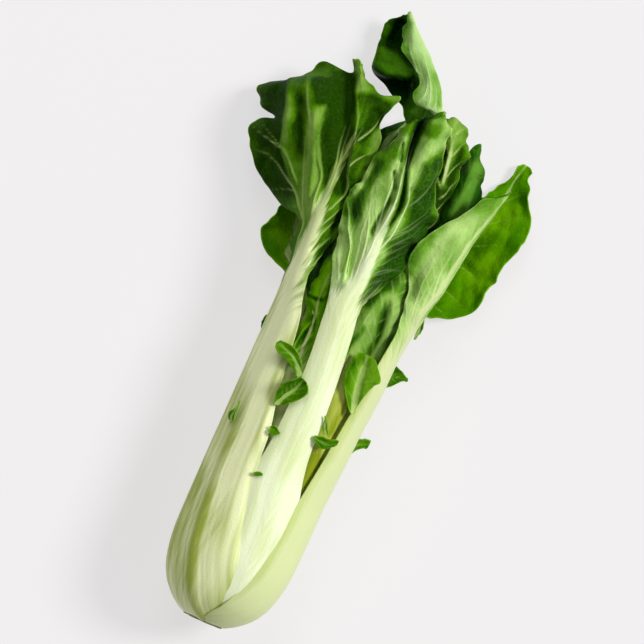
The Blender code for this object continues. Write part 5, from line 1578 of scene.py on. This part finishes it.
def build_root():
    """The stub of root left by the knife: a shallow dish that fills the stalks' feet."""
    low, high = ROOT_LOW.y / MM, ROOT_HIGH.y / MM
    wide = (ROOT_HIGH.x - ROOT_LOW.x) / 2 / MM
    # The cut's rim stands out furthest, and behind it the plug widens and narrows again.
    profile = [(low + 0.7, 0), (low + 0.65, 0.4 * wide), (low + 0.4, 0.8 * wide),
               (low + 0.15, 1.1 * wide), (low + 0.5, 1.2 * wide), (low + 2.2, 1.32 * wide),
               (low + 5.5, 1.62 * wide), (low + 9, 1.5 * wide), (high - 4, 0.6 * wide),
               (high, 0)]
    obj, _, _ = turned("root_cut", profile, 7, 0.2)
    obj.data.materials.append(cut_root_material())
    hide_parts("root_stub")


# --- Settings, operators and panel ------------------------------------------------------
def colour_setting(name, description, code):
    return FloatVectorProperty(name=name, description=description, subtype="COLOR", size=3,
                               min=0, max=1, default=colour(code))


def length_setting(name, description, default, least):
    return FloatProperty(name=name, description=description, default=default, min=least,
                         unit="LENGTH")


class LEAVES_PG_settings(bpy.types.PropertyGroup):
    blade: length_setting("Blade", "Thickness of a leaf's blade", 0.00055, 0.0001)
    stalk_edge: length_setting("Stalk edge", "Thickness of a stalk along its thin edges",
                               0.0005, 0.0001)
    gap: length_setting("Gap", "Least distance between a leaf and those that it lies on",
                        0.0007, 0)
    ruffle: FloatProperty(
        name="Ruffle", description="How strongly the margins wave", default=1.0, min=0, max=2,
        subtype="FACTOR")
    veins: FloatProperty(
        name="Veins", description="How far the side veins stand out", default=1.0, min=0,
        max=2, subtype="FACTOR")
    waxy_leaf_back: colour_setting(
        "Outer back", "Green of an outer leaf's waxy back", "#4C7E06")
    white_stalk_leaf_back: colour_setting(
        "Middle back", "Green of the middle leaf's back", "#4E8206")
    bloomed_leaf_back: colour_setting(
        "Bloomed back", "Green of the pale right leaf's back", "#6EA02E")
    silvery_leaf_back: colour_setting(
        "Silvery back", "Green of the tall leaf's back", "#7CAA48")
    glossy_leaf_front: colour_setting(
        "Front", "Green of the leaves' glossy insides", "#468400")
    deep_leaf_front: colour_setting(
        "Rolled front", "Green inside the tall leaf's roll", "#2C5C02")
    inner_leaf_back: colour_setting(
        "Inner back", "Green of the leaves deep in the head", "#225404")
    tender_leaf: colour_setting(
        "Young leaves", "Green of the smallest leaves and the bud", "#4A8000")
    shaded_leaf: colour_setting(
        "Shaded leaves", "Green of the leaves between the stalks", "#5C8C22")


class CORE_PG_settings(bpy.types.PropertyGroup):
    flesh: colour_setting("Flesh", "Colour of the freshly cut root", "#DFE3A6")
    dried: colour_setting("Dried rim", "Colour where the cut has dried", "#98905A")
    ring: length_setting("Ring", "Distance between the rings in the cut", 0.00185, 0.0002)


class STAGE_PG_settings(bpy.types.PropertyGroup):
    floor: colour_setting("Floor", "Colour of the surface that the head lies on", "#F4F2F3")
    glow: FloatProperty(
        name="Glow", description="Light that the surface gives off itself", default=0.69, min=0)
    key: FloatProperty(
        name="Key light", description="Power of the large soft light on the right",
        default=745.0, min=0, unit="POWER")
    top: FloatProperty(
        name="Top light", description="Power of the wide light beyond the leaf tips",
        default=255.0, min=0, unit="POWER")
    fill: FloatProperty(
        name="Fill", description="Strength of the even light from all round", default=0.26,
        min=0)
    height: length_setting("Camera height", "Height of the camera over the surface", 3.0, 1)


# The camera looks straight down, turned so that the head leans to the right in its view.
VIEW_TURN = 24
VIEW_CENTRE = (0.00074, 0.00003)
# At VIEW_LEVEL over the surface, the view is VIEW_WIDTH across. All are in metres.
VIEW_LEVEL = 0.030
VIEW_WIDTH = 0.3027
SENSOR_MM = 36
# The paper sends back this share of the light on it, beside what it gives off itself.
PAPER_SHARE = 0.27
# Each lamp's name, the setting that holds its power, its width and its place, in metres.
LAMPS = (("key_light", "key", 2.8, (5.4, 3.8, 6.3)),
         ("top_light", "top", 5.2, (-2.6, 6.1, 7.4)))


def face_along(direction):
    """The turn that points a lamp along a direction."""
    return Vector(direction).to_track_quat("-Z", "Y").to_euler()


class STAGE_OT_build(bpy.types.Operator):
    """Adds the pale surface, the soft lights and the camera that looks down"""
    bl_idname = "bok_choy.stage"
    bl_label = "Stage"

    def execute(self, context):
        settings = context.scene.bok_choy_stage
        bpy.ops.object.select_all(action="DESELECT")
        bpy.ops.mesh.primitive_plane_add(size=8)
        floor = context.object
        floor.name = floor.data.name = "pale_surface"
        made = bpy.data.materials.new("matt_paper")
        made.use_nodes = True
        shader = made.node_tree.nodes["Principled BSDF"]
        # Light from below keeps the shadows on the sheet thin, as on a light table.
        paper = [PAPER_SHARE * share for share in settings.floor]
        shader.inputs["Base Color"].default_value = (*paper, 1)
        shader.inputs["Emission Color"].default_value = (*settings.floor, 1)
        shader.inputs["Emission Strength"].default_value = settings.glow
        shader.inputs["Roughness"].default_value = 0.9
        shader.inputs["Specular IOR Level"].default_value = 0.1
        floor.data.materials.append(made)

        for name, power, size, place in LAMPS:
            bpy.ops.object.light_add(type="AREA", location=place)
            light = context.object
            light.name = name
            light.data.shape = "DISK"
            light.data.size = size
            light.data.energy = getattr(settings, power)
            light.rotation_euler = face_along(-light.location)

        world = bpy.data.worlds.new("soft_studio")
        world.use_nodes = True
        context.scene.world = world
        world.node_tree.nodes["Background"].inputs["Color"].default_value = (1, 1, 1, 1)
        world.node_tree.nodes["Background"].inputs["Strength"].default_value = settings.fill

        data = bpy.data.cameras.new("camera")
        camera = bpy.data.objects.new("camera", data)
        context.scene.collection.objects.link(camera)
        camera.location = (*VIEW_CENTRE, settings.height)
        camera.rotation_euler = (0, 0, math.radians(VIEW_TURN))
        data.sensor_width = SENSOR_MM
        data.lens = SENSOR_MM * (settings.height - VIEW_LEVEL) / VIEW_WIDTH
        data.clip_end = 20
        context.scene.camera = camera
        context.scene.view_settings.view_transform = "Standard"
        return {"FINISHED"}


class LEAVES_OT_under(bpy.types.Operator):
    """Builds the three leaves that the head lies on"""
    bl_idname = "bok_choy.under_leaves"
    bl_label = "Under leaves"

    def execute(self, context):
        build_leaf("leaf_under_middle", under_middle_leaf())
        build_leaf("leaf_under_left", under_left_leaf())
        build_leaf("leaf_under_right", under_right_leaf())
        return {"FINISHED"}


class LEAVES_OT_inner(bpy.types.Operator):
    """Builds the leaves inside the head, and the tall folded one"""
    bl_idname = "bok_choy.inner_leaves"
    bl_label = "Inner leaves"

    def execute(self, context):
        build_leaf("leaf_inner_left", inner_left_leaf())
        build_leaf("leaf_pointed", pointed_leaf())
        build_leaf("leaf_inner_right", inner_right_leaf())
        build_leaf("leaf_tall", tall_leaf())
        build_leaf("leaf_gap_left", gap_left_leaf())
        build_leaf("leaf_gap_right", gap_right_leaf())
        return {"FINISHED"}


class LEAVES_OT_top(bpy.types.Operator):
    """Builds the three large leaves on top"""
    bl_idname = "bok_choy.top_leaves"
    bl_label = "Top leaves"

    def execute(self, context):
        build_leaf("leaf_left", left_leaf())
        build_leaf("leaf_middle", middle_leaf())
        build_leaf("leaf_right", right_leaf())
        return {"FINISHED"}


class CORE_OT_build(bpy.types.Operator):
    """Builds the bud in the middle and the cut end of the root"""
    bl_idname = "bok_choy.heart_and_root"
    bl_label = "Heart and root"

    def execute(self, context):
        build_heart()
        build_root()
        return {"FINISHED"}


class LEAVES_OT_young(bpy.types.Operator):
    """Builds the small leaves that stand on the stalks"""
    bl_idname = "bok_choy.young_leaves"
    bl_label = "Young leaves"

    def execute(self, context):
        build_leaf("leaf_small", small_leaf())
        for seed, (name, points) in enumerate(LEAFLETS.items()):
            how = "stay" if name in SIDE_LEAFLETS else "drop"
            build_leaf(name, leaflet(points, seed, how))
        return {"FINISHED"}


class BOKCHOY_PT_pieces(bpy.types.Panel):
    """The head's pieces, in the order that they are built in"""
    bl_label = "Bok choy head"
    bl_space_type = "VIEW_3D"
    bl_region_type = "UI"
    bl_category = "Bok Choy"

    def draw(self, context):
        scene = context.scene
        for label, operators, settings in (
                ("Heart and root", (CORE_OT_build,), scene.bok_choy_core),
                ("Leaves", (LEAVES_OT_under, LEAVES_OT_inner, LEAVES_OT_top, LEAVES_OT_young),
                 scene.bok_choy_leaves),
                ("Stage", (STAGE_OT_build,), scene.bok_choy_stage)):
            box = self.layout.box()
            box.label(text=label)
            for operator in operators:
                box.operator(operator.bl_idname)
            for name in settings.__annotations__:
                box.prop(settings, name)


CLASSES = (CORE_PG_settings, LEAVES_PG_settings, STAGE_PG_settings, CORE_OT_build,
           LEAVES_OT_under, LEAVES_OT_inner, LEAVES_OT_top, LEAVES_OT_young, STAGE_OT_build,
           BOKCHOY_PT_pieces)


def register():
    for cls in CLASSES:
        bpy.utils.register_class(cls)
    bpy.types.Scene.bok_choy_core = PointerProperty(type=CORE_PG_settings)
    bpy.types.Scene.bok_choy_leaves = PointerProperty(type=LEAVES_PG_settings)
    bpy.types.Scene.bok_choy_stage = PointerProperty(type=STAGE_PG_settings)


def unregister():
    del bpy.types.Scene.bok_choy_stage
    del bpy.types.Scene.bok_choy_leaves
    del bpy.types.Scene.bok_choy_core
    for cls in reversed(CLASSES):
        bpy.utils.unregister_class(cls)


def main():
    register()
    bpy.ops.bok_choy.heart_and_root()
    bpy.ops.bok_choy.under_leaves()
    bpy.ops.bok_choy.inner_leaves()
    bpy.ops.bok_choy.top_leaves()
    bpy.ops.bok_choy.young_leaves()
    bpy.ops.bok_choy.stage()


if __name__ == "__main__":
    main()
